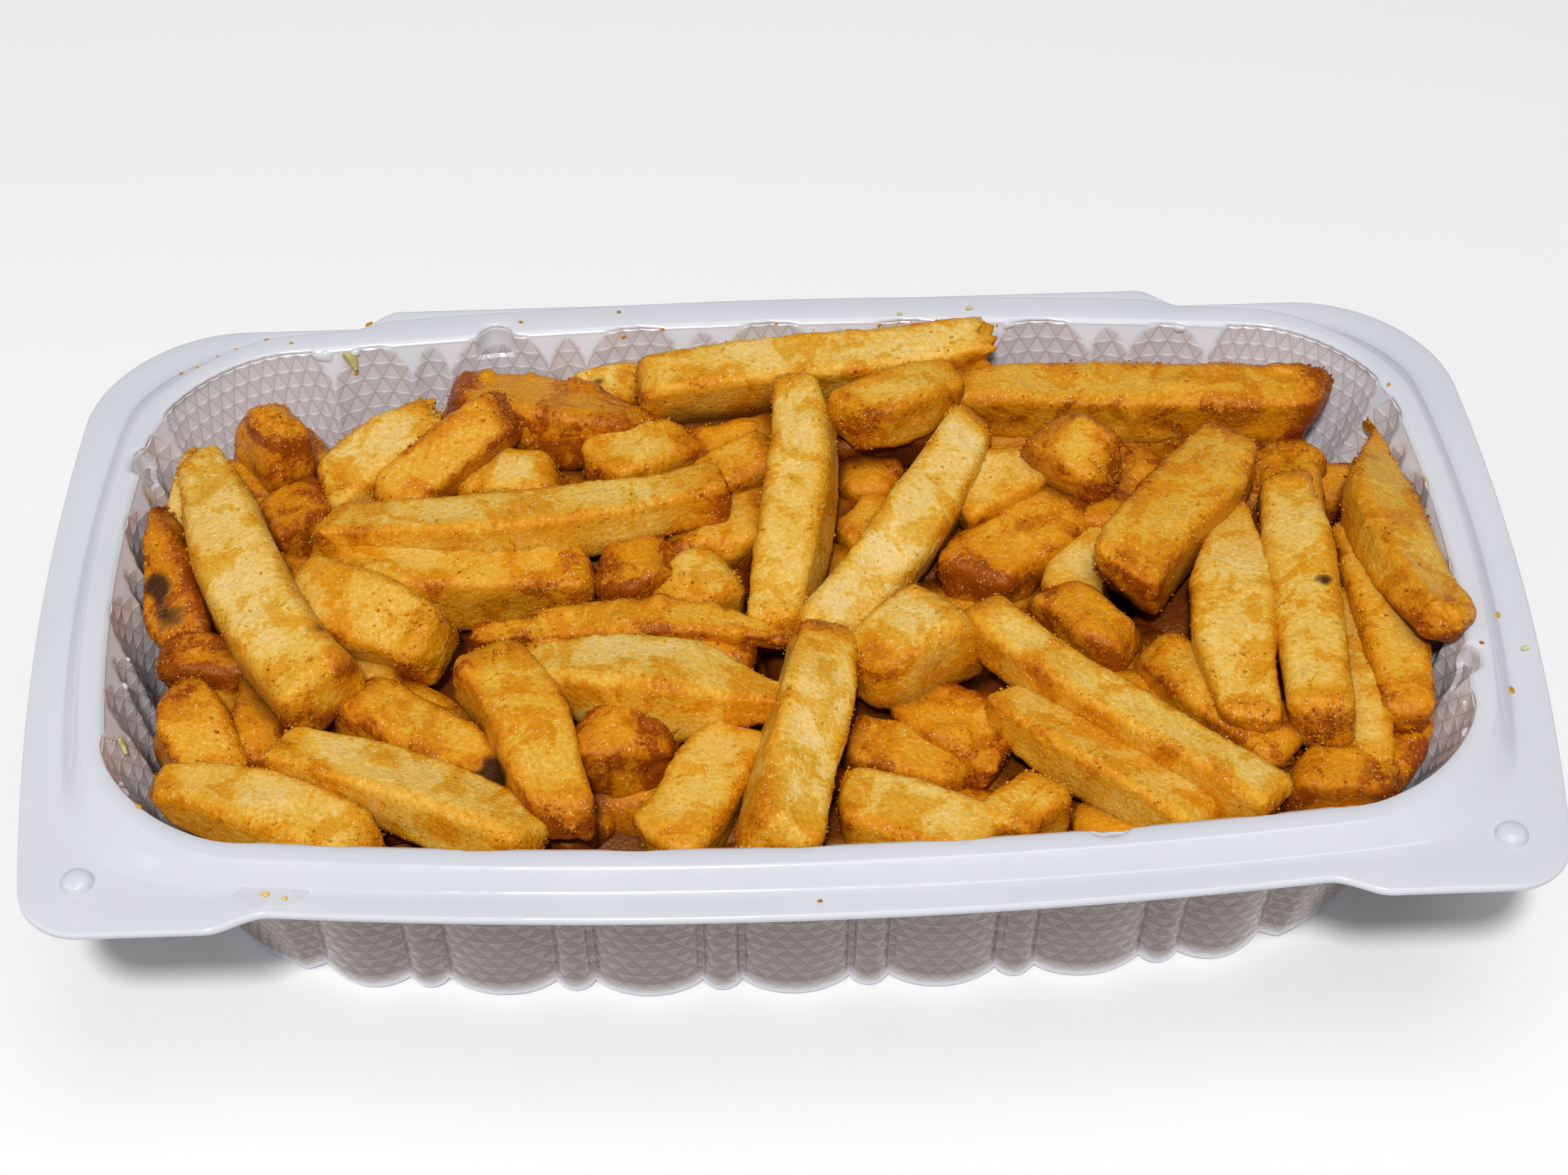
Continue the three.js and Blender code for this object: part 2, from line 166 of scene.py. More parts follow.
def addRange(tree, value, low, high):
    node = addNode(tree, "ShaderNodeMapRange", {"interpolation_type": "SMOOTHSTEP"},
                   Value=value, From_Min=low, From_Max=high)
    return node.outputs["Result"]


def addMix(tree, factor, first, second):
    # 6, 7 and output 2 are the colour sockets of the node
    node = addNode(tree, "ShaderNodeMix", {"data_type": "RGBA"})
    for index, value in ((0, factor), (6, first), (7, second)):
        connect(tree, (*value, 1) if isinstance(value, tuple) else value, node.inputs[index])
    return node.outputs[2]


def addBump(tree, shader, height, strength, distance):
    bump = addNode(tree, "ShaderNodeBump", Strength=strength, Distance=distance, Height=height)
    tree.links.new(bump.outputs["Normal"], shader.inputs["Normal"])


def objectPlace(tree):
    return tree.nodes.new("ShaderNodeTexCoord").outputs["Object"]


def readValues(tree, *names):
    return [addNode(tree, "ShaderNodeAttribute", {"attribute_name": name}).outputs["Fac"] for name in names]


grainNoise = {
    "fine": 1500.0,
    "gritShare": 0.45,
    "patches": 125.0,
    "dots": 1700.0,
    "dotRange": (0.14, 0.30),      # from the middle of a dot to its edge
    "chosenRange": (0.72, 0.80),   # how few of the dots shine
}


def grainGroup():
    # height, patches and glints of the crust
    group = bpy.data.node_groups.new("fryGrain", "ShaderNodeTree")
    for name, side in (("Size", "INPUT"), ("Height", "OUTPUT"), ("Patches", "OUTPUT"), ("Sparkle", "OUTPUT")):
        group.interface.new_socket(name=name, in_out=side, socket_type="NodeSocketFloat")
    inside = group.nodes.new("NodeGroupInput")
    outside = group.nodes.new("NodeGroupOutput")
    place = objectPlace(group)
    fine = addNode(group, "ShaderNodeTexNoise", Vector=place, Scale=grainNoise["fine"],
                   Detail=3.0, Roughness=0.65)
    grit = addNode(group, "ShaderNodeTexVoronoi", Vector=place, Scale=inside.outputs["Size"])
    wide = addNode(group, "ShaderNodeTexNoise", Vector=place, Scale=grainNoise["patches"],
                   Detail=5.0, Roughness=0.60, Distortion=0.6)
    dots = addNode(group, "ShaderNodeTexVoronoi", Vector=place, Scale=grainNoise["dots"])
    height = minus(group, fine.outputs["Fac"], times(group, grit.outputs["Distance"], grainNoise["gritShare"]))
    chosen = addNode(group, "ShaderNodeSeparateColor", Color=dots.outputs["Color"]).outputs[0]
    dot = minus(group, 1.0, addRange(group, dots.outputs["Distance"], *grainNoise["dotRange"]))
    sparkle = times(group, dot, addRange(group, chosen, *grainNoise["chosenRange"]))
    setSockets(group, outside, Height=height, Patches=wide.outputs["Fac"], Sparkle=sparkle)
    return group


grain = grainGroup()

crustLook = {
    "ramp": [
        (0.0, (0.82, 0.60, 0.235)),
        (0.18, (0.79, 0.485, 0.09)),
        (0.36, (0.715, 0.37, 0.028)),
        (0.54, (0.69, 0.275, 0.006)),
        (0.72, (0.60, 0.205, 0.003)),
        (0.88, (0.47, 0.130, 0.002)),
        (1.0, (0.30, 0.060, 0.0015)),
    ],
    "char": (0.055, 0.018, 0.006),
    # painted shade far down in the gaps between the fries
    "gap": (0.115, 0.019, 0.002),
    "glint": (1.0, 0.90, 0.66),
    "glintShare": 0.55,
    "toneShare": 0.80,
    "edgeShare": 0.44,
    "patchShare": 0.19,
    "patchRange": (0.51, 0.56),   # narrow, so that the patches have rather sharp borders
    "waveMiddle": 0.52,
    "waveShare": 0.4,
    "gritSize": 1100.0,
    "gritMiddle": 0.28,
    "grainShare": 0.50,
    "gapShadeShare": 0.93,
    "charRange": (0.25, 0.85),
    "roughness": 0.36,
    "bump": 0.42,
}


def crustMaterial():
    look = crustLook
    material, tree, shader = newMaterial("friedCrust")
    edge, tone, burn, deep = readValues(tree, "edge", "tone", "burn", "deep")
    node = addNode(tree, "ShaderNodeGroup", {"node_tree": grain}, Size=look["gritSize"])
    patches, height = node.outputs["Patches"], node.outputs["Height"]
    patchMask = addRange(tree, patches, *look["patchRange"])
    wave = minus(tree, patches, look["waveMiddle"])
    level = times(tree, tone, look["toneShare"])
    for value, share in ((edge, "edgeShare"), (patchMask, "patchShare"), (wave, "waveShare")):
        level = plus(tree, level, times(tree, value, look[share]))
    grit = times(tree, minus(tree, height, look["gritMiddle"]), look["grainShare"])
    base = addRamp(tree, addMath(tree, "ADD", level, grit, True), look["ramp"])
    shiny = addMix(tree, times(tree, node.outputs["Sparkle"], look["glintShare"]), base, look["glint"])
    # painted shade where a place lies low under the heap's tops
    gapShaded = addMix(tree, times(tree, deep, look["gapShadeShare"]), shiny, look["gap"])
    charred = addMix(tree, addRange(tree, burn, *look["charRange"]), gapShaded, look["char"])
    addBump(tree, shader, height, look["bump"], 0.0006)
    setSockets(tree, shader, Base_Color=charred, Roughness=look["roughness"], Specular_IOR_Level=0.4,
               Specular_Tint=(1.0, 0.70, 0.32, 1), Subsurface_Weight=0.22,
               Subsurface_Radius=(1.0, 0.4, 0.08), Subsurface_Scale=0.0020)
    return material


plasticLook = {
    "shade": (0.66, 0.67, 0.725),
    "light": (0.70, 0.71, 0.76),
    "diamond": 6.0,                  # height of one diamond of the waffle, in mm
    "lobe": (0.62, 0.55, 0.55),      # painted shade in the hollow waffled fields
    "lobeShadeShare": 0.40,
    # painted shade in the waffle's grooves
    "shadedGroove": (0.34, 0.25, 0.23),
    "shadedGrooveShare": 0.34,
    # painted highlight along each pillow's crest
    "crestHighlight": (0.95, 0.95, 0.98),
    "crestHighlightShare": 0.60,
    "outside": (0.150, 0.100, 0.074),    # painted shade over the outer wall, and the fries showing through the thin wall
    # painted shade in the grooves of the outer wall
    "outsideShadedGroove": (0.060, 0.038, 0.028),
    "outsideShadedGrooveShare": 0.6,
    "lobeRange": (0.03, 0.28),
    "shadedGrooveRange": (0.01, 0.085),
    "rowRange": (0.02, 0.13),
    "crestHighlightRange": (0.15, 0.38),
    "raisedShare": 0.35,
    "stain": (0.72, 0.50, 0.20),
    "roughness": 0.12,
    "coat": 0.3,
}


def fromWhole(tree, value):
    # distance to the nearest whole number
    return addMath(tree, "ABSOLUTE", minus(tree, addMath(tree, "FRACT", plus(tree, value, 0.5)), 0.5))


def plasticMaterial():
    look = plasticLook
    material, tree, shader = newMaterial("trayPlastic")
    place = objectPlace(tree)
    cloud = addNode(tree, "ShaderNodeTexNoise", Vector=place, Scale=38.0, Detail=3.0)
    ripple = addNode(tree, "ShaderNodeTexNoise", Vector=place, Scale=120.0, Detail=2.0)
    turn, standing, outside, stain = readValues(tree, "turn", "standing", "outside", "stain")
    rise = addNode(tree, "ShaderNodeSeparateXYZ", Vector=place).outputs["Z"]
    # the shader counts in metres
    up = times(tree, rise, 1000 / look["diamond"])
    onRow = fromWhole(tree, times(tree, rise, 2000 / look["diamond"]))
    across = addMath(tree, "MINIMUM", fromWhole(tree, plus(tree, turn, up)),
                     fromWhole(tree, minus(tree, turn, up)))
    lobe = addRange(tree, standing, *look["lobeRange"])
    # lines of painted shade along the waffle's grooves
    shadedGroove = times(tree, minus(tree, 1.0, addRange(tree, across, *look["shadedGrooveRange"])), lobe)
    row = minus(tree, 1.0, addRange(tree, onRow, *look["rowRange"]))
    # painted highlights on the pillows' crests along each row
    crestHighlight = times(tree, times(tree, row, addRange(tree, across, *look["crestHighlightRange"])), lobe)
    base = addRamp(tree, cloud.outputs["Fac"], [(0.3, look["shade"]), (0.7, look["light"])])
    field = addMix(tree, times(tree, lobe, look["lobeShadeShare"]), base, look["lobe"])
    bright = addMix(tree, times(tree, crestHighlight, look["crestHighlightShare"]), field, look["crestHighlight"])
    lined = addMix(tree, times(tree, shadedGroove, look["shadedGrooveShare"]), bright, look["shadedGroove"])
    outer = addMix(tree, times(tree, shadedGroove, look["outsideShadedGrooveShare"]), look["outside"], look["outsideShadedGroove"])
    stained = addMix(tree, stain, addMix(tree, outside, lined, outer), look["stain"])
    raised = times(tree, times(tree, minus(tree, row, shadedGroove), lobe), look["raisedShare"])
    addBump(tree, shader, plus(tree, ripple.outputs["Fac"], raised), 0.25, 0.0005)
    setSockets(tree, shader, Base_Color=stained, Roughness=look["roughness"], Coat_Weight=look["coat"],
               Coat_Roughness=0.06, Subsurface_Weight=0.12, Subsurface_Radius=(1.0, 0.9, 0.85),
               Subsurface_Scale=0.0012)
    return material


crust = crustMaterial()
plastic = plasticMaterial()
print("materials made")

tray = {
    "sheet": 0.7,
    "flangeTop": 49.0,
    "rimTop": 52.0,
    "midY": 1.1,
    "mouth": (108.0, 55.2, 6.0, 7.0, 20.0),   # half length, half width, bows, corner radius
    "foot": (96.6, 43.2, 6.0, 6.5, 26.0),
    "bandDrop": 6.0,
    "bandIn": 3.2,
    "groove": (114.4, 60.2, 6.0, 7.0, 16.0),
    "longLobes": {"wide": (18.3, 3.4), "narrow": (6.7, 2.3), "end": (14.5, 2.8)},
    "shortLobes": {"wide": (14.2, 2.8), "narrow": (6.6, 1.9), "end": (9.8, 2.4)},
    "shortMiddle": 5.8,
    "cornerDepth": 2.6,
    "pillow": 0.13,        # how far the waffle's pillows stand out
    "pillowCrest": 0.12,
    "periods": (47, 20, 14),   # pillows along a long wall, a short wall and round a corner
    "perPeriod": 6,
    "taper": 0.72,             # how much the lobes flatten towards the mouth
    "stationsTurn": 400,       # directions tried round a corner
}


def bowedRect(x, y, shape, midY=0.0, grow=0.0):
    halfX, halfY, bowX, bowY, corner = shape
    v = y - midY
    sideX = halfX + grow + bowX * np.maximum(0, 1 - (v / halfY) ** 2)
    sideY = halfY + grow + bowY * np.maximum(0, 1 - (x / halfX) ** 2)
    r = corner + grow
    qx = np.abs(x) - sideX + r
    qy = np.abs(v) - sideY + r
    return np.hypot(np.maximum(qx, 0), np.maximum(qy, 0)) + np.minimum(np.maximum(qx, qy), 0) - r


def mouthOutline(x, y):
    return bowedRect(x, y, tray["mouth"], tray["midY"])


def footOutline(x, y):
    return bowedRect(x, y, tray["foot"], tray["midY"] + 0.5)


def flangeOutline(x, y):
    ax = np.abs(x)
    sideX = 120 + 6 * (1 - (y / 75) ** 2)
    front = mixed(-72.7 + 4 * (ax / 82) ** 2, -71.6, smoothStep(82, 92, ax))
    back = mixed(72.6, 68.0, smoothStep(69, 77, ax))
    r = np.where(y > 0, 24.0, 9.0)
    qx = ax - sideX + r
    qy = np.where(y > 0, y - back, front - y) + r
    return np.hypot(np.maximum(qx, 0), np.maximum(qy, 0)) + np.minimum(np.maximum(qx, qy), 0) - r


def rimOutline(x, y):
    base = bowedRect(x, y, tray["mouth"], tray["midY"], 3.8)
    width = mixed(6.2, 4.6, smoothStep(69, 77, np.abs(x)))
    return base - (width - 3.8) * smoothStep(30, 56, y) * (y > 30)


def grooveOutline(x, y):
    inner = np.minimum(bowedRect(x, y, tray["groove"], -0.4), rimOutline(x, y) - 2.2)
    return np.maximum(inner, flangeOutline(x, y) + 0.7)


def reach(outline, origin, heading):
    near = np.zeros(len(origin))
    far = np.full(len(origin), 220.0)
    for _ in range(34):
        middle = (near + far) / 2
        inside = outline(origin[:, 0] + heading[:, 0] * middle, origin[:, 1] + heading[:, 1] * middle) < 0
        near = np.where(inside, middle, near)
        far = np.where(inside, far, middle)
    return near


def lobeBulge(place, lobes, middle):
    # how far the wall stands out of its ridges: 0 on a ridge
    total = sum(width for width, _ in lobes)
    start = middle - total / 2
    bulge = np.zeros(len(place))
    for width, depth in lobes:
        t = (place - start) / width
        here = (t >= 0) & (t <= 1)
        bulge = np.where(here, depth * np.maximum(0, 1 - (2 * t - 1) ** 2) ** 0.8, bulge)
        start += width
    return bulge


def trayStations():
    long, short = tray["longLobes"], tray["shortLobes"]
    half = [long["narrow"], long["wide"]] * 2 + [long["narrow"], long["end"]]
    longRow = half[::-1] + [long["wide"]] + half
    half = [short["wide"], short["narrow"], short["end"]]
    shortRow = half[::-1] + [short["narrow"]] + half
    cornerX = sum(width for width, _ in longRow) / 2
    reachY = sum(width for width, _ in shortRow) / 2
    cornerFront, cornerBack = tray["shortMiddle"] - reachY, tray["shortMiddle"] + reachY
    alongLong, alongShort, alongCorner = (n * tray["perPeriod"] for n in tray["periods"])
    xs = np.linspace(-cornerX, cornerX, alongLong, endpoint=False)
    ys = np.linspace(cornerFront, cornerBack, alongShort, endpoint=False)
    origins, headings, bulges = [], [], []

    def addWall(points, heading, bulge):
        origins.append(points)
        headings.append(np.tile(heading, (len(points), 1)))
        bulges.append(bulge)

    def addCorner(x, y, turn):
        angle = np.linspace(0, math.pi / 2, tray["stationsTurn"]) + turn
        heading = np.stack([np.cos(angle), np.sin(angle)], 1)
        origin = np.tile([x, y], (len(angle), 1)).astype(float)
        r = reach(mouthOutline, origin, heading)
        line = origin + heading * r[:, None]
        run = np.concatenate([[0], np.cumsum(np.hypot(*np.diff(line, axis=0).T))])
        angle = np.interp(np.arange(alongCorner) / alongCorner * run[-1], run, angle)
        degrees = np.degrees(angle - turn)
        origins.append(np.tile([x, y], (alongCorner, 1)).astype(float))
        headings.append(np.stack([np.cos(angle), np.sin(angle)], 1))
        bulges.append(tray["cornerDepth"] * np.minimum(1, np.minimum(degrees, 90 - degrees) / 12))

    zero = np.zeros_like
    addWall(np.stack([zero(ys), ys], 1), [1.0, 0.0], lobeBulge(ys, shortRow, tray["shortMiddle"]))
    addCorner(cornerX, cornerBack, 0)
    addWall(np.stack([-xs, zero(xs)], 1), [0.0, 1.0], lobeBulge(-xs, longRow, 0))
    addCorner(-cornerX, cornerBack, math.pi / 2)
    back = cornerFront + cornerBack - ys
    addWall(np.stack([zero(ys), back], 1), [-1.0, 0.0], lobeBulge(back, shortRow, tray["shortMiddle"]))
    addCorner(-cornerX, cornerFront, math.pi)
    addWall(np.stack([xs, zero(xs)], 1), [0.0, -1.0], lobeBulge(xs, longRow, 0))
    addCorner(cornerX, cornerFront, math.pi * 1.5)
    return np.concatenate(origins), np.concatenate(headings), np.concatenate(bulges)


origin, heading, bulge = trayStations()
stationCount = len(origin)
outlines = {"mouth": mouthOutline, "foot": footOutline, "rim": rimOutline, "groove": grooveOutline,
            "flange": flangeOutline}
outlineReach = {name: reach(outline, origin, heading) for name, outline in outlines.items()}

# half-round stops pressed into the rim
lugs = {
    # place on the mouth, height of the shelf, depth
    "places": [(-50.5, 61.5, 47.2, 2.7), (-112.0, 31.0, 47.2, 2.1),
               (112.0, -26.0, 47.2, 2.1), (49.0, -60.0, 51.2, 1.4)],
    "halfWidth": 3.2,
    "lip": 1.7,      # what stays of the rim outside a recess
}


def lugOffset(z):
    # how far the recesses stand out of the mouth at a height
    offset = np.zeros(stationCount)
    line = origin + heading * outlineReach["mouth"][:, None]
    for x, y, shelf, depth in lugs["places"]:
        if z > shelf:
            away = np.hypot(line[:, 0] - x, line[:, 1] - y)
            away = np.hypot(*(line - line[away.argmin()]).T)
            offset += depth * np.sqrt(np.maximum(0, 1 - (away / lugs["halfWidth"]) ** 2))
    return np.minimum(offset, outlineReach["rim"] - outlineReach["mouth"] - lugs["lip"])


lug = lugOffset(tray["rimTop"])
turnPlace = np.arange(stationCount) / tray["perPeriod"]


def wallReach(z):
    mouth, foot = outlineReach["mouth"], outlineReach["foot"]
    top = mouth - tray["bandIn"]
    up = (z - tray["sheet"]) / (tray["rimTop"] - tray["sheet"])
    ridge = mixed(foot, top + tray["bandDrop"] * (top - foot) / (tray["rimTop"] - tray["bandDrop"]), up)
    lobed = ridge + bulge * mixed(1, tray["taper"], up)
    band = mouth - tray["bandIn"] * (tray["rimTop"] - z) / tray["bandDrop"]
    r = np.minimum(np.maximum(lobed, band), mouth + 0.4)
    return r, lobed - band


def pillows(z, standing):
    # quilted waffle: grooves on both diagonals, a crest along each pillow's short one
    up, row = z / plasticLook["diamond"], z / (plasticLook["diamond"] / 2)
    a, b = turnPlace + up, turnPlace - up
    groove = np.minimum(np.abs(a - np.round(a)), np.abs(b - np.round(b))) * 2
    crest = 1 - abs(row - round(row)) * 2
    height = tray["pillow"] * np.minimum(1, groove * 2.2) ** 0.8 + tray["pillowCrest"] * crest * groove
    return height * np.clip(standing / 0.3, 0, 1) * smoothStep(2.5, 5, z)


rings, fields, outsideShades = [], [], []


def addRing(r, z, standing=None, outside=0.0):
    rings.append(np.column_stack([origin + heading * r[:, None], np.full(stationCount, z)]))
    fields.append(np.zeros(stationCount) if standing is None else standing)
    outsideShades.append(np.full(stationCount, float(outside)))


def wallRow(z, side):
    r, standing = wallReach(z)
    height = pillows(z, standing)
    cut = lugOffset(z)
    field = np.clip(standing, 0, 1) * smoothStep(2.5, 5, z) * (cut < 0.3)
    if side == "inner":
        addRing(r + cut - height, z, field)
    else:
        # painted shade over the outer wall, fading out near its top and towards the foot
        shade = 0.92 * smoothStep(48.5, 46.5, z) * smoothStep(1.5, 6.5, z)
        addRing(r + cut + tray["sheet"] + height * 0.8, z, field, shade)


def stainAt(points):
    stain = np.zeros(len(points))
    for x, y, z, radius, strength in stains:
        away = np.sqrt(((points - [x, y, z]) ** 2).sum(1))
        stain = np.maximum(stain, strength * np.clip(1 - (away / radius) ** 2, 0, 1))
    return np.clip(stain * (0.75 + 0.5 * lumps(points, 1.6, 5)), 0, 1)


# where oil has run: place, radius, strength
stains = [
    (-6, 61, 48, 2.2, 0.95), (-10, 61, 48, 1.2, 0.6), (-104, 56, 46, 2.4, 0.35), (-69, 57, 46, 3.0, 0.3),
    (-40, 58, 44, 2.6, 0.25), (-116, 3, 49, 2.6, 0.3), (-116, -4, 49, 2.0, 0.3), (60, 57, 44, 3.0, 0.25),
    (-105, 33, 44, 2.4, 0.35), (104, -30, 46, 3.0, 0.25),
]

# heights of the wall's rows, closer together where the recesses begin
wallRows = {
    "inner": [*np.arange(3, 27, 1.5), *range(27, 46), 45.6, 46.2, 46.8, 47.15, 47.3, 47.9, 48.5, 49.1, 49.7,
              50.3, 50.9, 51.2],
    "outer": [50, 49, 48, 47.2, 46.9, 46, *range(45, 2, -1)],
}


def trayPiece():
    sheet, top, low = tray["sheet"], tray["rimTop"], tray["flangeTop"]
    mouth, rim, groove, flange = (outlineReach[k] for k in ("mouth", "rim", "groove", "flange"))
    floorReach = wallReach(sheet)[0]
    # the inside, from the middle of the floor up to the mouth
    for inset, z in ((12, sheet + 0.5), (10.5, sheet), (2.6, sheet), (0.9, sheet + 0.5)):
        addRing(floorReach - inset, z)
    addRing(wallReach(2.2)[0] - 0.2, 2.2)
    for z in wallRows["inner"]:
        wallRow(float(z), "inner")
    # two rings close to the edges of the front recess's shelf keep it flat
    for share in (0.12, 0.88):
        addRing(wallReach(51.2)[0] + mixed(lugOffset(51.2), lugOffset(51.4), share), 51.22 + 0.03 * share)
    wallRow(51.4, "inner")
    # rim, groove, flange and its turned-down edge
    addRing(np.maximum(mouth + lug + 0.25, wallReach(51.4)[0] + lug), top - 0.22)
    addRing(mouth + lug + 0.7, top)
    addRing(mixed(mouth + lug + 0.7, rim, 0.5), top)
    for grow, drop in ((-0.5, 0.0), (-0.15, 0.04), (0.06, 0.16)):
        addRing(rim + grow, top - drop)
    for t, drop in ((0.25, 0.75), (0.5, 1.6), (0.75, 2.5), (0.93, 3.05)):
        addRing(mixed(rim, groove, t), top - drop)
    addRing(groove + 0.2, low - 0.22)
    for t, drop in ((0.3, 0.12), (0.6, 0.02)):
        addRing(mixed(groove, flange, t), low - drop)
    for grow, drop in ((-0.4, 0.0), (-0.12, 0.05), (0.04, 0.22), (0.15, 1.2), (-0.4, 1.2), (-0.6, 0.85)):
        addRing(flange + grow, low - drop)
    # the outside, back down to the middle of the underside
    addRing(groove - 0.2, low - sheet - 0.3)
    addRing(mixed(rim, groove, 0.5) - 0.3, top - 1.6 - sheet)
    addRing(rim - 0.4, top - sheet)
    addRing(mouth + lug + 1.2, top - sheet)
    addRing(wallReach(51.0)[0] + lugOffset(top - 1.4) + sheet + 0.3, top - 1.4)
    for z in wallRows["outer"]:
        wallRow(float(z), "outer")
    addRing(wallReach(2.2)[0] + sheet, 2.2)
    addRing(floorReach + sheet - 0.5, 0.6)
    for inset, z in ((2.0, 0.0), (10.0, 0.0), (11.5, 0.5)):
        addRing(floorReach - inset, z)
    n, levels = stationCount, len(rings)
    points = np.vstack([*rings, [0, tray["midY"], sheet + 0.5], [0, tray["midY"], 0.5]])
    i = np.arange(n)
    j = (i + 1) % n
    last = (levels - 1) * n
    faces = tubeFaces(levels, n)
    for centre, a, b in ((len(points) - 2, i, j), (len(points) - 1, last + j, last + i)):
        faces += np.column_stack([np.full(n, centre), a, b]).tolist()
    values = {"turn": np.concatenate([np.tile(turnPlace, levels), [0, 0]]),
              "standing": np.concatenate(fields + [np.zeros(2)]),
              "outside": np.concatenate(outsideShades + [np.zeros(2)]), "stain": stainAt(points)}
    return makePiece("trayShell", points, faces, plastic, values)


shell = trayPiece()
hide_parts("tray")
print("tray made", len(shell.data.polygons))


buttons = {
    "place": (112.7, -61.3),
    "radius": 2.6,
    "high": 1.4,
    "around": 40,
    # share of the radius, share of the height
    "profile": [(1.12, -0.25), (1.05, 0.0), (1.0, 0.12), (0.93, 0.42), (0.8, 0.68), (0.6, 0.86),
                (0.35, 0.97), (0.12, 1.0)],
}


def buttonPiece():
    (x0, y0), radius, around, profile = (buttons[k] for k in ("place", "radius", "around", "profile"))
    points, faces = [], []
    for side in (-1, 1):
        start = len(points)
        last = start + (len(profile) - 1) * around
        for share, up in profile:
            z = tray["flangeTop"] - 0.1 + (up * buttons["high"] if up > 0 else up)
            for k in range(around):
                angle = k / around * 2 * math.pi
                points.append((side * x0 + math.cos(angle) * radius * share,
                               y0 + math.sin(angle) * radius * share, z))
        faces += tubeFaces(len(profile), around, start, True)
        faces += [[last + k for k in range(around)], [start + around - 1 - k for k in range(around)]]
    none = np.zeros(len(points))
    return makePiece("snapButtons", points, faces, plastic,
                     {"turn": none, "standing": none, "outside": none, "stain": none})


buttonPiece()
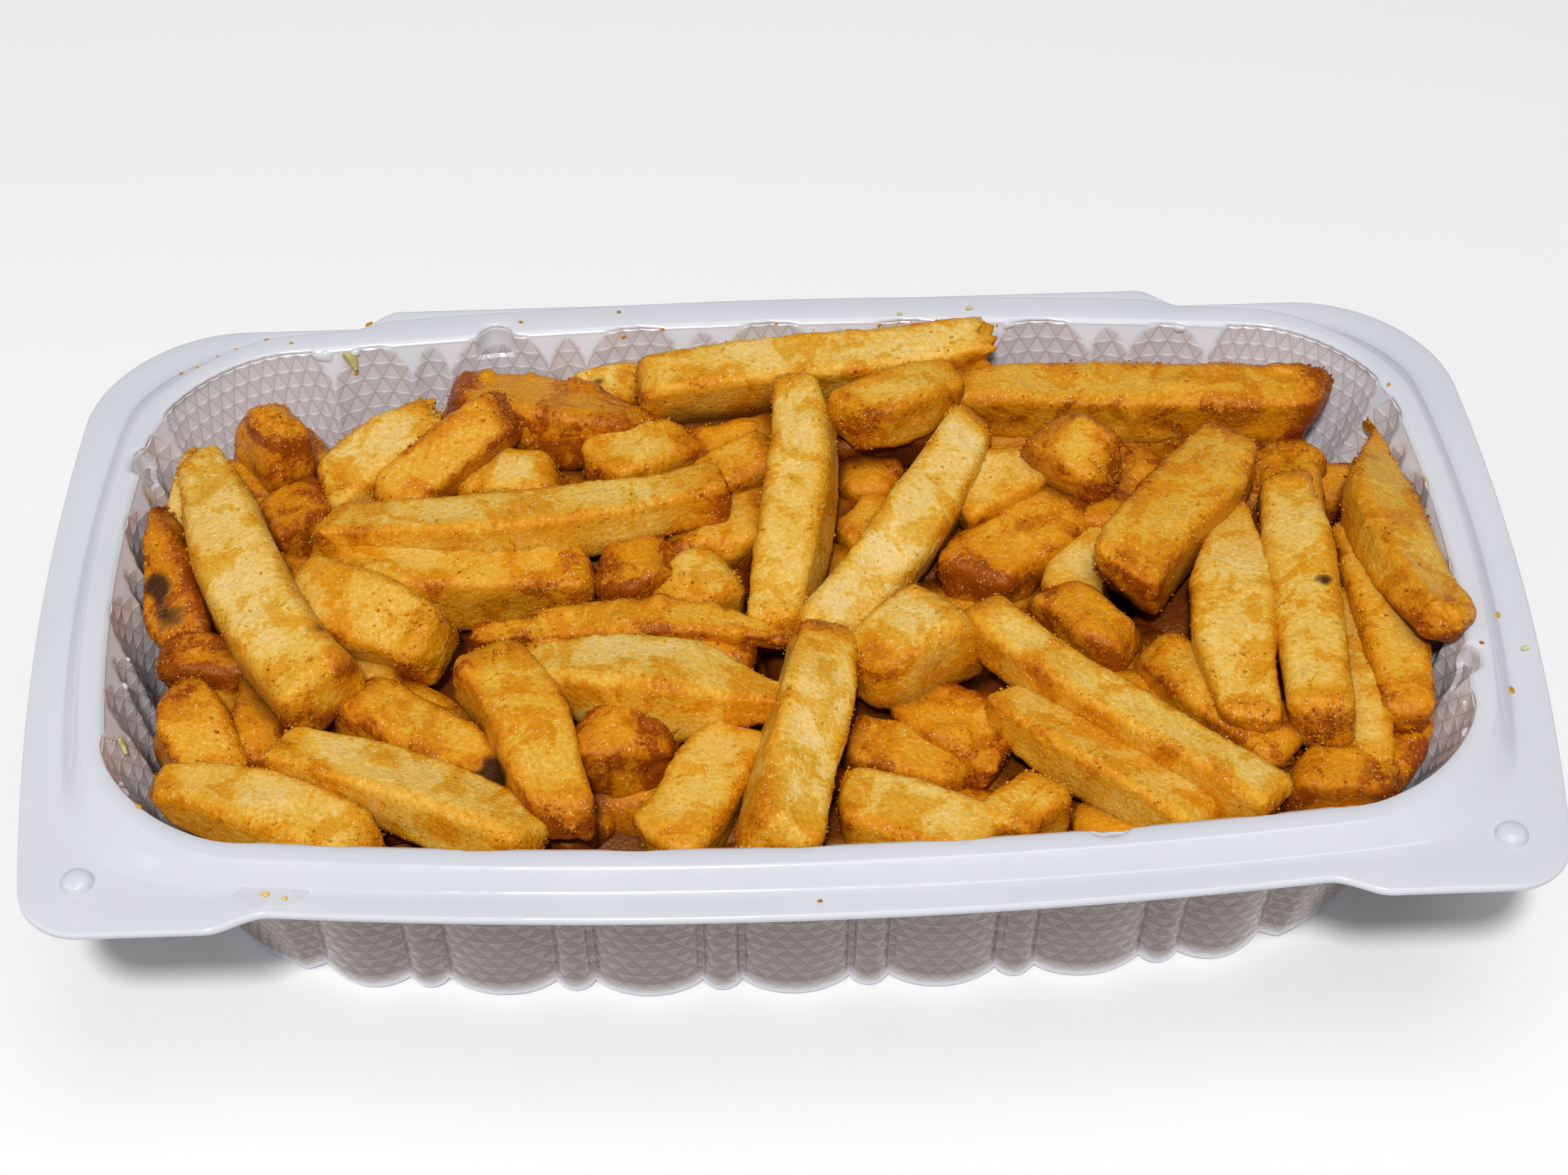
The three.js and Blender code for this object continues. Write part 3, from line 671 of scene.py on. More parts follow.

# Both ends of the middle line, width, height, roll, sideways bow, share of the section left at each end,
# and how dark it is: the fried colour, and for fries low in the heap also painted shade.
fries = [
    (-102, 33, 47, -77, -22, 48, 13, 11, 10, -3, 0.7, 0.95, 0.18),
    (-111, 41, 41, -104, 22, 38, 10, 9, 0, 0, 0.75, 1, 0.2),
    (-92, 40, 32, -89, 42, 49, 13, 9, 0, 0, 1, 0.75, 0.62),
    (-79, 33, 40, -62, 48, 45, 12, 9, 0, 0, 1, 0.6, 0.08),
    (-69, 28, 42, -49, 43, 49, 10, 8, 15, 0, 1, 0.9, 0.42),
    (-57, 52, 44, -23, 43, 44, 12, 11, -10, -1.5, 0.8, 0.5, 0.78),
    (-78, 18, 46, -12, 22, 49, 10, 9, -8, -4.5, 0.85, 0.8, 0.3),
    (-78, 9, 42, -35, 7, 42, 11, 11, 0, 0, 1, 0.85, 0.45),
    (-84, 6, 42, -60, -9, 44, 13, 12, 15, 0, 1, 0.85, 0.34),
    (-113, 24, 44, -101, -4, 39, 11, 10, 20, 0, 0.7, 0.75, 0.95),
    (-104, -8, 39, -90, -8, 39, 8, 8, 0, 0, 0.8, 1, 0.85),
    (-102, -18, 42, -95, -33, 38, 11, 9, 0, 0, 0.7, 1, 0.5),
    (-89, -14, 38, -87, -30, 38, 9, 8, 0, 0, 0.8, 1, 0.75),
    (-103, -37, 41, -68, -53, 42, 11, 10, 0, 1.5, 0.7, 1, 0.28),
    (-83, -33, 45, -44, -51, 42, 11, 9, -10, 1.5, 0.75, 0.9, 0.24),
    (-72, -20, 41, -48, -38, 41, 10, 9, 0, 0, 1, 0.8, 0.48),
    (-51, -17, 47, -37, -49, 45, 12, 10, 0, 1.5, 0.9, 0.8, 0.45),
    (-51, -8, 45, 0, -14, 48, 7, 6, 0, 3, 0.5, 0.4, 0.56),
    (-45, -18, 47, 1, -28, 48, 13, 11, -12, 0, 0.55, 0.3, 0.24),
    (-35, -32, 43, -21, -33, 43, 11, 11, 0, 0, 1, 0.85, 0.72),
    (-9, -34, 43, -21, -53, 43, 12, 10, 0, 0, 0.9, 1, 0.3),
    (6, -14, 50, -3, -57, 46, 11, 10, -20, 0, 0.85, 1, 0.2),
    (35, 35, 50, 5, -13, 46, 11, 10, -15, 1.5, 0.8, 0.9, 0.12),
    (4, 42, 53, -2, -9, 46, 10, 10, 10, 2.4, 0.8, 0.9, 0.2),
    (-22, 50, 46, 36, 54, 51, 10, 13, 8, 0, 0.95, 0.8, 0.22),
    (13, 36, 52, 31, 43, 52, 10, 9, 0, 0, 0.9, 0.8, 0.38),
    (33, 47, 46, 98, 43, 46, 11, 11, 0, 0, 0.85, 1, 0.5),
    (47, 29, 52, 58, 22, 51, 12, 10, 10, 0, 0.8, 1, 0.45),
    (66, 31, 43, 60, 21, 42, 9, 8, 0, 0, 0.9, 1, 0.66),
    (80, 28, 48, 59, -4, 50, 13, 11, 0, 0, 0.85, 0.9, 0.42),
    (33, 19, 45, 46, 28, 46, 12, 9, 0, 0, 0.9, 0.7, 0.26),
    (33, 4, 41, 51, 19, 42, 13, 11, 0, 0, 1, 0.9, 0.68),
    (56, 13, 42, 50, -1, 42, 9, 9, 0, 0, 0.9, 1, 0.28),
    (12, -20, 48, 28, -12, 48, 13, 12, 0, 0, 0.75, 1, 0.16),
    (33, -12, 50, 75, -50, 45, 9, 9, -8, -1, 0.9, 1, 0.32),
    (36, -28, 45, 66, -51, 42, 12, 9, -10, 0, 0.7, 1, 0.28),
    (46, -3, 43, 57, -13, 43, 9, 9, 0, 0, 0.9, 0.9, 0.6),
    (62, -14, 42, 80, -37, 42, 11, 9, 0, 0, 0.8, 1, 0.45),
    (79, 15, 47, 76, -34, 47, 13, 10, 0, -1.5, 0.45, 0.7, 0.28),
    (89, 20, 48, 87, -36, 48, 11, 10, 10, 0, 0.75, 0.85, 0.26),
    (99, 11, 44, 102, -31, 43, 10, 10, 0, 1.5, 0.7, 0.8, 0.45),
    (96, -4, 42, 95, -40, 42, 9, 9, 0, 0, 1, 0.8, 0.4),
    (110, 36, 46, 111, -19, 53, 11, 8, -15, -5.5, 0.25, 0.85, 0.42),
    (101, -28, 36, 103, -34, 36, 9, 9, 0, 0, 1, 0.9, 0.6),
    (83, -42, 41, 96, -43, 40, 9, 9, 0, 0, 1, 0.9, 0.6),
    (21, -22, 40, 33, -35, 40, 13, 10, 0, 0, 0.9, 0.9, 0.66),
    (10, -31, 40, 27, -38, 39, 10, 8, 0, 0, 1, 0.8, 0.5),
    (9, -47, 43, 29, -54, 42, 12, 9, 0, 0, 0.9, 0.9, 0.24),
    (40, -45, 42, 34, -52, 42, 11, 10, 0, 0, 0.9, 1, 0.3),
    (47, -49, 37, 56, -48, 37, 9, 9, 0, 0, 1, 1, 0.6),
    (-14, -46, 37, -4, -47, 37, 9, 9, 0, 0, 1, 1, 0.75),
    (-37, 54, 41, -25, 54, 43, 11, 8, 0, 0, 0.7, 1, 0.18),
    (-31, 34, 43, -18, 39, 44, 11, 9, 0, 0, 1, 0.75, 0.28),
    (-55, 33, 41, -41, 33, 41, 9, 8, 0, 0, 0.8, 1, 0.24),
    (-15, 38, 41, 0, 41, 41, 9, 8, 0, 0, 1, 1, 0.62),
    (-10, 31, 41, -1, 37, 42, 10, 9, 0, 0, 1, 1, 0.4),
    (-10, 26, 38, -1, 27, 38, 8, 8, 0, 0, 1, 1, 0.66),
    (-18, 15, 41, -4, 19, 42, 11, 10, 0, 0, 0.85, 1, 0.55),
    (-30, 6, 43, -20, 7, 43, 12, 11, 0, 0, 0.85, 0.8, 0.66),
    (-20, 0, 43, -10, 4, 43, 13, 11, 0, 0, 0.85, 0.9, 0.24),
    (12, 31, 40, 20, 30, 40, 8, 8, 0, 0, 1, 1, 0.55),
    (12, 17, 40, 20, 23, 40, 8, 8, 0, 0, 1, 1, 0.5),
    (-92, 23, 38, -82, 31, 39, 10, 8, 0, 0, 1, 0.8, 0.78),
    (-22, 49, 37, 33, 50, 41, 10, 10, 0, 0, 1, 1, 0.6),
    (9, 38, 43, 31, 42, 44, 9, 9, 0, 0, 1, 1, 0.6),
    (36, 45, 37, 95, 42, 38, 10, 9, 0, 0, 1, 1, 0.6),
    (62, -6, 36, 70, -1, 36, 7, 6, 0, 0, 1, 1, 0.95),
    (24, -41, 35, 34, -44, 35, 8, 7, 0, 0, 1, 1, 0.8),
    (11, 39, 37, 20, 37, 37, 9, 9, 0, 0, 1, 1, 0.7),
    (25, 11, 37, 38, 18, 37, 8, 7, 0, 0, 1, 1, 0.8),
    (88, 31, 37, 96, 36, 38, 9, 8, 0, 0, 1, 1, 0.6),
    (5, -47, 35, 34, -47, 35, 10, 9, 0, 0, 1, 1, 0.7),
    (87, 16, 39, 86, -30, 39, 10, 9, 0, 0, 1, 1, 0.7),
    (-42, -8, 42, -8, -12, 42, 10, 9, 0, 0, 1, 1, 0.6),
    (13, -18, 42, 29, -12, 42, 10, 9, 0, 0, 1, 1, 0.6),
    (50, 31, 41, 57, 15, 42, 10, 10, 0, 0, 1, 1, 0.6),
]

# Dark spots: place, radius, strength.
burns = [
    (-78, -14, 53.5, 1.7, 0.85), (-79.5, -12, 53, 1.2, 0.6),
    (-48, -38, 44, 3.6, 1.1), (-45, -39, 41, 3.4, 1.0),
    (-107, 6, 44, 3.4, 1.0), (-105, 1, 42, 3.4, 1.0), (-111, 15, 44, 4.0, 0.6),
    (29, 33, 55.5, 1.5, 0.8), (91, -9, 54, 1.3, 0.8), (89.8, -8.6, 54, 1.0, 0.7),
    (97, 44, 48.5, 2.2, 0.6), (100, 44, 46, 5.0, 0.42), (-32, 55, 46.5, 1.2, 0.7), (67, 17, 54.5, 0.8, 0.5),
]

friesLook = {
    "spacing": 0.68,          # distance between mesh points on the sides that show
    "lowSpacing": 1.5,        # and on fries that only just show
    "packedSpacing": 2.3,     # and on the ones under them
    "underside": 0.45,        # share of the points that is left underneath
    "longer": 2.0,            # the rounded ends take some of the length away
    "swell": 0.60,            # slow unevenness of the body
    "dents": 0.16,
    "fine": 0.095,            # grain on the faces
    "fray": 0.46,             # grain on the edges
    "blister": 0.40,
    "plump": 1.13,            # the rounded corners take some of the width away
    "slant": 0.42,            # how oblique the cut ends are
    "clearance": 0.35,        # what is left between the heap and the wall
    "showing": 63,            # the rows after these only just show
    "edgeWidth": 1.7,         # how far the browned edges reach over the faces
}

# What some fries have of their own: ragged ends (mm), darker or paler ends, roughness of the crust.
fryTraits = {
    0: {"blister": 0.4, "lastTone": 0.12},
    2: {"firstTone": 0.25, "lastSlant": (0.1, 0.0)},
    3: {"lastRagged": 2.6, "lastTone": 0.3},
    4: {"lastTone": 0.3, "blister": 1.4},
    5: {"blister": 2.2, "lastTone": 0.12},
    6: {"firstSlant": (0.7, 0.1), "lastTone": 0.14},
    9: {"blister": 1.2, "fray": 1.2},
    10: {"blister": 2.0},
    16: {"blister": 0.8, "lastTone": 0.3},
    17: {"blister": 2.4, "fray": 1.6},
    18: {"lastTone": 0.42, "lastRagged": 1.5},
    19: {"blister": 2.0, "fray": 1.4},
    23: {"lastTone": 0.0, "firstTone": 0.1},
    21: {"firstTone": 0.2},
    24: {"lastRagged": 3.6, "lastSlant": (0.0, 0.5), "firstTone": 0.12},
    26: {"lastTone": 0.28, "blister": 1.6, "fray": 1.5},
    27: {"firstTone": 0.22, "blister": 1.5},
    28: {"blister": 2.0},
    31: {"blister": 2.2, "fray": 1.5},
    34: {"firstTone": 0.16},
    36: {"blister": 2.0, "fray": 1.4},
    38: {"firstTone": 0.3},
    42: {"firstTone": 0.35, "firstRagged": 2.0, "fray": 1.5},
    45: {"blister": 2.0},
    57: {"blister": 2.0},
    58: {"blister": 1.8},
}


def sectionPoints(width, height, radius, spacing, turn, underside):
    # a rounded rectangle as points with their distance from the nearest corner, sparser underneath
    w, h = width / 2 - radius, height / 2 - radius
    dense, away = [], []
    for k, (cx, cy) in enumerate(((w, h), (-w, h), (-w, -h), (w, -h))):
        for s in range(13):
            angle = math.pi / 2 * (k + s / 12)
            dense.append((cx + radius * math.cos(angle), cy + radius * math.sin(angle)))
            away.append((math.cos(angle), math.sin(angle)))
    dense, away = np.array(dense + dense[:1]), np.array(away + away[:1])
    step = np.hypot(*np.diff(dense, axis=0).T)
    rise = (away[1:, 0] + away[:-1, 0]) * math.sin(turn) + (away[1:, 1] + away[:-1, 1]) * math.cos(turn)
    cost = np.concatenate([[0], np.cumsum(step * np.where(rise > -0.9, 1, underside))])
    count = max(14, int(round(cost[-1] / spacing)))
    at = np.arange(count) / count * cost[-1]
    points = np.column_stack([np.interp(at, cost, dense[:, k]) for k in (0, 1)])
    gap = np.hypot(np.abs(np.abs(points[:, 0]) - width / 2), np.abs(np.abs(points[:, 1]) - height / 2))
    return points, gap


def heapLimit(x, y, z):
    # how far outside the tray's inner wall a place is, at its height
    up = np.clip((z - tray["sheet"]) / (tray["rimTop"] - tray["sheet"]), 0, 1)[:, None]
    foot, mouth = np.array(tray["foot"]), np.array(tray["mouth"])
    bandStart = tray["rimTop"] - tray["bandDrop"]
    top = mouth - tray["bandIn"] * np.array([1, 1, 0, 0, 1])
    shape = mixed(foot, top + (top - foot) * 0.12, np.minimum(up, 0.885))
    grow = np.where(z > bandStart, (z - bandStart) / tray["bandDrop"] * tray["bandIn"], 0)
    return bowedRect(x, y, shape.T, tray["midY"], grow)


def keepInside(points):
    # points past the wall are pushed back along the limit's slope
    below = points[:, 2] < 52.4
    step = 0.05
    for _ in range(3):
        x, y, z = points.T
        d = heapLimit(x, y, z)
        gx = (heapLimit(x + step, y, z) - d) / step
        gy = (heapLimit(x, y + step, z) - d) / step
        push = np.where(below, np.maximum(0, d + friesLook["clearance"]), 0)
        norm = np.maximum(0.2, np.hypot(gx, gy))
        points[:, 0] -= push * gx / norm
        points[:, 1] -= push * gy / norm
    return points


def fryLevels(span, half, endRound, spacing):
    # rings from one end to the other: distance along, share of the section, distance from the end's edge
    capShare = max(0.25, 1 - endRound / half)
    capRings = max(3, int(round(half * capShare / spacing)))
    cap = [(0.5 * (s / capShare) ** 2 - 0.5, s, (capShare - s) * half)
           for s in np.linspace(0.08, capShare, capRings)]
    steps = max(3, int(round(endRound * 1.5 / spacing)))
    turns = np.linspace(0, math.pi / 2, steps + 1)[1:]
    cap += [(endRound * (1 - math.cos(a)), capShare + (1 - capShare) * math.sin(a), 0.0) for a in turns]
    body = np.linspace(endRound, span - endRound, max(4, int(round((span - 2 * endRound) / spacing))))[1:-1]
    levels = cap + [(d, 1.0, min(d, span - d) - endRound) for d in body]
    return np.array(levels + [(span - d, share, gap) for d, share, gap in reversed(cap)])


def fryMesh(row, seed, spacing):
    x0, y0, z0, x1, y1, z1, width, height, roll, bow, first, last, tone = row
    traits = fryTraits.get(seed, {})
    rng = np.random.default_rng(seed * 31 + 7)
    start, end = np.array([x0, y0, z0], float), np.array([x1, y1, z1], float)
    along = (end - start) / np.linalg.norm(end - start)
    start, end = start - along * friesLook["longer"], end + along * friesLook["longer"]
    span = np.linalg.norm(end - start)
    left = np.cross([0, 0, 1.0], along)
    left /= np.linalg.norm(left)
    up = np.cross(along, left)
    turn = math.radians(roll + rng.uniform(-4, 4))
    half = min(width, height) / 2
    width, height = width * friesLook["plump"], height * friesLook["plump"]
    radius = half * rng.uniform(0.36, 0.56)
    section, gap = sectionPoints(width, height, radius, spacing, turn, friesLook["underside"])
    skew, wedge = rng.uniform(-0.10, 0.10), rng.uniform(-0.12, 0.12)
    section[:, 0] = section[:, 0] * (1 + wedge * section[:, 1] / height) + skew * section[:, 1]
    levels = fryLevels(span, half, min(half * 0.8, rng.uniform(2.0, 3.8)), spacing)
    t = np.clip(levels[:, 0] / span, 0, 1)
    share = levels[:, 1] * mixed(first, 1, smoothStep(0, 0.45, t)) * mixed(1, last, smoothStep(0.55, 1, t))
    narrowing = rng.uniform(0, 0.16, 2)
    share *= 1 - narrowing[0] * np.exp(-levels[:, 0] / 5) - narrowing[1] * np.exp(-(span - levels[:, 0]) / 5)
    twist = turn + math.radians(rng.uniform(-7, 7)) * (t - 0.5) * 2
    spine = start + np.outer(levels[:, 0], along) + np.outer(bow * 4 * t * (1 - t), left)
    spine += np.outer(rng.uniform(-0.7, 0.7) * np.sin(t * math.pi * 2), left)
    spine += np.outer(rng.uniform(-0.6, 0.4) * np.sin(t * math.pi), up)
    a = share[:, None] * section[:, 0]
    b = share[:, None] * section[:, 1]
    slants = rng.uniform(-1, 1, (2, 2)) * friesLook["slant"]
    slants[0] = traits.get("firstSlant", slants[0])
    slants[1] = traits.get("lastSlant", slants[1])
    nearStart = np.maximum(0, 1 - levels[:, 0] / 11)[:, None]
    nearEnd = np.maximum(0, 1 - (span - levels[:, 0]) / 11)[:, None]
    shift = (a * slants[0, 0] + b * slants[0, 1]) * nearStart + (a * slants[1, 0] + b * slants[1, 1]) * nearEnd
    c, s = np.cos(twist)[:, None], np.sin(twist)[:, None]
    across = (a * c - b * s)[..., None] * left + (a * s + b * c)[..., None] * up
    grid = spine[:, None, :] + across + shift[..., None] * along
    aroundWay = np.roll(grid, -1, axis=1) - np.roll(grid, 1, axis=1)
    alongWay = np.gradient(grid, axis=0)
    normals = np.cross(aroundWay, alongWay)
    normals /= np.maximum(1e-9, np.linalg.norm(normals, axis=2))[..., None]
    normals[0], normals[-1] = -along, along
    corner = np.exp(-(gap / friesLook["edgeWidth"]) ** 2)[None, :] * (levels[:, 1] ** 2)[:, None]
    endEdge = 0.72 * np.exp(-(np.maximum(0, levels[:, 2]) / friesLook["edgeWidth"]) ** 2)[:, None]
    edges = np.maximum(corner, endEdge).ravel()
    points, normals = grid.reshape(-1, 3), normals.reshape(-1, 3)
    own = points + rng.uniform(-400, 400, 3)
    ragged = np.clip(0.55 + 0.9 * lumps(own, 6, 6), 0.05, 1.3)
    dents = friesLook["dents"] * (lumps(own, 6.5, 1) + 0.5 * lumps(own, 3, 2))
    body = friesLook["swell"] * lumps(own, 14, 30) + dents
    blister = friesLook["blister"] * traits.get("blister", 1) * smoothStep(0.2, 0.75, lumps(own, 4.0, 16))
    blister = blister * (0.35 + tone)
    crumbly = 0.25 + lumps(own, 1.7, 4) * 0.6 + lumps(own, 0.9, 8) * 0.75
    fray = friesLook["fray"] * traits.get("fray", 1) * edges * ragged * crumbly
    fine = friesLook["fine"] * (lumps(own, 1.8, 9) + lumps(own, 0.95, 5))
    points = points + normals * (body + blister + fray + fine)[:, None]
    place = np.repeat(levels[:, 0], len(section))
    for key, distance, way in (("firstRagged", place, -along), ("lastRagged", span - place, along)):
        if key in traits:
            torn = lumps(own, 3.2, 40) + 0.6 * lumps(own, 1.5, 41)
            pull = traits[key] * np.maximum(0, 1 - np.maximum(0, distance) / 6) * torn
            points = points + np.outer(pull, way)
    points = keepInside(points)
    n, count = len(section), len(levels)
    faces = tubeFaces(count, n, 0, True) + [list(range(n))[::-1], list(range((count - 1) * n, count * n))]
    edges = np.clip(edges * np.clip(0.72 + 0.5 * lumps(own, 6, 11) + 0.25 * lumps(own, 1.6, 12), 0, 1.2), 0, 1)
    # painted shade: faces turned sideways or down are darker and more orange than the tops
    sideShade = 1 - smoothStep(0.15, 0.8, normals[:, 2])
    ends = traits.get("firstTone", 0.07) * np.exp(-(place / 8) ** 2)
    ends = ends + traits.get("lastTone", 0.07) * np.exp(-((span - place) / 8) ** 2)
    tones = tone + 0.24 * sideShade + ends + 0.13 * lumps(own, 13, 13) + 0.08 * lumps(own, 5, 14)
    return points, normals, faces, edges, np.clip(tones, 0, 1)


packed = {
    "count": 90,
    "acrossX": (-96, 96),
    "acrossY": (-44, 46),
    "height": (32, 36.5),
    "halfLength": (13, 24),
    "width": (9, 11),
    "thick": (8, 10),
    # dark fried colour, partly painted shade of the layer under the others
    "tone": (0.55, 0.85),
}


def packedRows():
    # the layer under the fries that show
    lower = random.Random(11)
    rows = []
    for _ in range(packed["count"]):
        angle = lower.uniform(0, math.pi)
        x, y = lower.uniform(*packed["acrossX"]), lower.uniform(*packed["acrossY"])
        half = lower.uniform(*packed["halfLength"])
        dx, dy = math.cos(angle) * half, math.sin(angle) * half * 0.7
        z = lower.uniform(*packed["height"])
        rows.append((x - dx, y - dy, z, x + dx, y + dy, z + lower.uniform(-2, 2),
                     lower.uniform(*packed["width"]), lower.uniform(*packed["thick"]),
                     0, 0, 0.9, 0.9, lower.uniform(*packed["tone"])))
    return rows


# a height map of the heap in cells of 1 mm, smoothed over a few of them
gaps = {"columns": 260, "rows": 160, "lowest": 30.0, "reach": 6, "range": (0.8, 8.5)}


def gapDepth(points, everything):
    # how far a place lies under the tops around it: 0 on the top of the heap, 1 in the gaps; the crust paints
    # shade by it
    nx, ny, reached = gaps["columns"], gaps["rows"], gaps["reach"]
    top = np.full((nx, ny), gaps["lowest"])
    ix = np.clip((everything[:, 0] + nx / 2).astype(int), 0, nx - 1)
    iy = np.clip((everything[:, 1] + ny / 2).astype(int), 0, ny - 1)
    np.maximum.at(top, (ix, iy), everything[:, 2])
    total = np.zeros_like(top)
    weights = 0
    for dx in range(-reached, reached + 1):
        for dy in range(-reached, reached + 1):
            weight = max(0, 1 - math.hypot(dx, dy) / (reached + 0.5))
            total += weight * np.roll(np.roll(top, dx, 0), dy, 1)
            weights += weight
    around = total / weights
    px, py = points[:, 0] + nx / 2 - 0.5, points[:, 1] + ny / 2 - 0.5
    ax, ay = np.clip(px.astype(int), 0, nx - 2), np.clip(py.astype(int), 0, ny - 2)
    tx, ty = px - ax, py - ay
    near = mixed(around[ax, ay], around[ax + 1, ay], tx)
    far = mixed(around[ax, ay + 1], around[ax + 1, ay + 1], tx)
    return smoothStep(*gaps["range"], mixed(near, far, ty) - points[:, 2])


def crustValues(count, **given):
    # one value per point for each of the crust's attributes, 0 where none is given
    return {key: given.get(key, 0.0) * np.ones(count) for key in ("edge", "tone", "burn", "deep")}


def joined(meshes):
    points, normals, edges, tones = (np.concatenate([m[k] for m in meshes]) for k in (0, 1, 3, 4))
    faces, base = [], 0
    for mesh in meshes:
        faces += [[v + base for v in face] for face in mesh[2]]
        base += len(mesh[0])
    return points, normals, faces, edges, tones


def burnAt(points):
    burn = np.zeros(len(points))
    for x, y, z, radius, strength in burns:
        away = np.sqrt(((points - [x, y, z]) ** 2).sum(1)) * (1 + 0.35 * lumps(points, 1.8, 21))
        burn = np.maximum(burn, strength * np.clip(1.5 - away / radius, 0, 1))
    return burn


def friesPieces():
    rows = [(row, index, friesLook["spacing" if index < friesLook["showing"] else "lowSpacing"])
            for index, row in enumerate(fries)]
    rows += [(row, 200 + k, friesLook["packedSpacing"]) for k, row in enumerate(packedRows())]
    groups = {"friesLeft": [], "friesMiddle": [], "friesRight": [], "friesLower": []}
    for row, seed, spacing in rows:
        x = (row[0] + row[3]) / 2
        key = "friesLeft" if x < -38 else "friesMiddle" if x < 36 else "friesRight"
        key = key if spacing == friesLook["spacing"] else "friesLower"
        groups[key].append(fryMesh(row, seed, spacing))
    everything = np.concatenate([mesh[0] for meshes in groups.values() for mesh in meshes])
    made, showing = {}, []
    for name, meshes in groups.items():
        points, normals, faces, edges, tones = joined(meshes)
        deep = gapDepth(points, everything)
        values = crustValues(len(points), edge=edges, tone=tones, burn=burnAt(points), deep=deep)
        made[name] = makePiece(name, points, faces, crust, values)
        if name != "friesLower":
            showing.append(np.column_stack([points, normals, edges, tones, deep]))
        triangles = sum(len(p.vertices) - 2 for p in made[name].data.polygons)
        print(name, len(meshes), "fries", triangles, "triangles")
    return made, np.concatenate(showing)


heap, crustPlaces = friesPieces()
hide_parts("fries")

grainLook = {"count": 16000, "small": 0.13, "large": 0.38}


def grainPiece():
    # loose granules of crust along the edges
    rng = np.random.default_rng(5)
    edges, deep, rise = crustPlaces[:, 6], crustPlaces[:, 8], crustPlaces[:, 5]
    clumps = np.clip(0.25 + 1.1 * lumps(crustPlaces[:, :3], 5, 51), 0.03, 1)
    chance = (edges ** 2 + 0.03) * clumps * (deep < 0.8) * (rise > -0.35)
    pick = rng.choice(len(chance), grainLook["count"], replace=False, p=chance / chance.sum())
    spots, out = crustPlaces[pick, :3], crustPlaces[pick, 3:6]
    size = grainLook["small"] + (grainLook["large"] - grainLook["small"]) * rng.random(len(pick)) ** 2.2
    middle = spots + rng.uniform(-0.3, 0.3, (len(pick), 3)) + out * (size * 0.35)[:, None]
    arms = np.array([(1, 0, 0), (0, 1, 0), (-1, 0, 0), (0, -1, 0), (0, 0, 1), (0, 0, -1)], float)
    shape = arms * rng.uniform(0.6, 1.3, (len(pick), 6, 1)) + rng.uniform(-0.25, 0.25, (len(pick), 6, 3))
    points = middle[:, None, :] + shape * size[:, None, None]
    corners = np.array([(0, 1, 4), (1, 2, 4), (2, 3, 4), (3, 0, 4), (1, 0, 5), (2, 1, 5), (3, 2, 5), (0, 3, 5)])
    faces = (corners[None] + 6 * np.arange(len(pick))[:, None, None]).reshape(-1, 3).tolist()
    points = keepInside(points.reshape(-1, 3))
    edge = rng.uniform(0.2, 0.8, len(pick))
    tone = crustPlaces[pick, 7] + rng.uniform(-0.15, 0.2, len(pick))
    edge, tone, deep = (np.repeat(values, 6) for values in (edge, tone, deep[pick]))
    return makePiece("crustGrains", points, faces, crust,
                     crustValues(len(points), edge=edge, tone=tone, deep=deep))


grainPiece()
print("crust granules made")


# height and distance from the wall
coreRings = [(33.0, 14.0), (31.0, 6.0), (24.0, 1.2), (3.2, 1.0), (1.4, 3.6)]


def corePiece():
    # the mass under the loose fries, from every sixth station of the wall
    pick = np.arange(0, stationCount, 6)
    n = len(pick)
    points = []
    for z, inset in coreRings:
        r = wallReach(z)[0][pick] - bulge[pick] - inset
        points.append(np.column_stack([origin[pick] + heading[pick] * r[:, None], np.full(n, z)]))
    points = np.concatenate(points)
    points[:n * 2, 2] += lumps(points[:n * 2], 8, 3) * 0.8
    faces = tubeFaces(len(coreRings), n)
    faces += [list(range(n)), [(len(coreRings) - 1) * n + n - 1 - i for i in range(n)]]
    # painted shade: the core is coloured dark fried and fully in the gaps' painted shade
    return makePiece("friesCore", points, faces, crust,
                     crustValues(len(points), edge=0.4, tone=0.95, burn=0.2, deep=1.0))


corePiece()
print("heap made")


trayTree = BVHTree.FromPolygons([tuple(v.co) for v in shell.data.vertices],
                                [tuple(p.vertices) for p in shell.data.polygons])


def onTray(place):
    # the nearest place on the tray in mm with its outward direction and two directions along the surface
    spot, out, _, _ = trayTree.find_nearest(Vector([v * mm for v in place]))
    out = np.array(out)
    side = np.cross(out, [0, 0, 1.0])
    side = np.array([1.0, 0, 0]) if np.linalg.norm(side) < 0.2 else side / np.linalg.norm(side)
    return np.array(spot) / mm, out, side, np.cross(out, side)


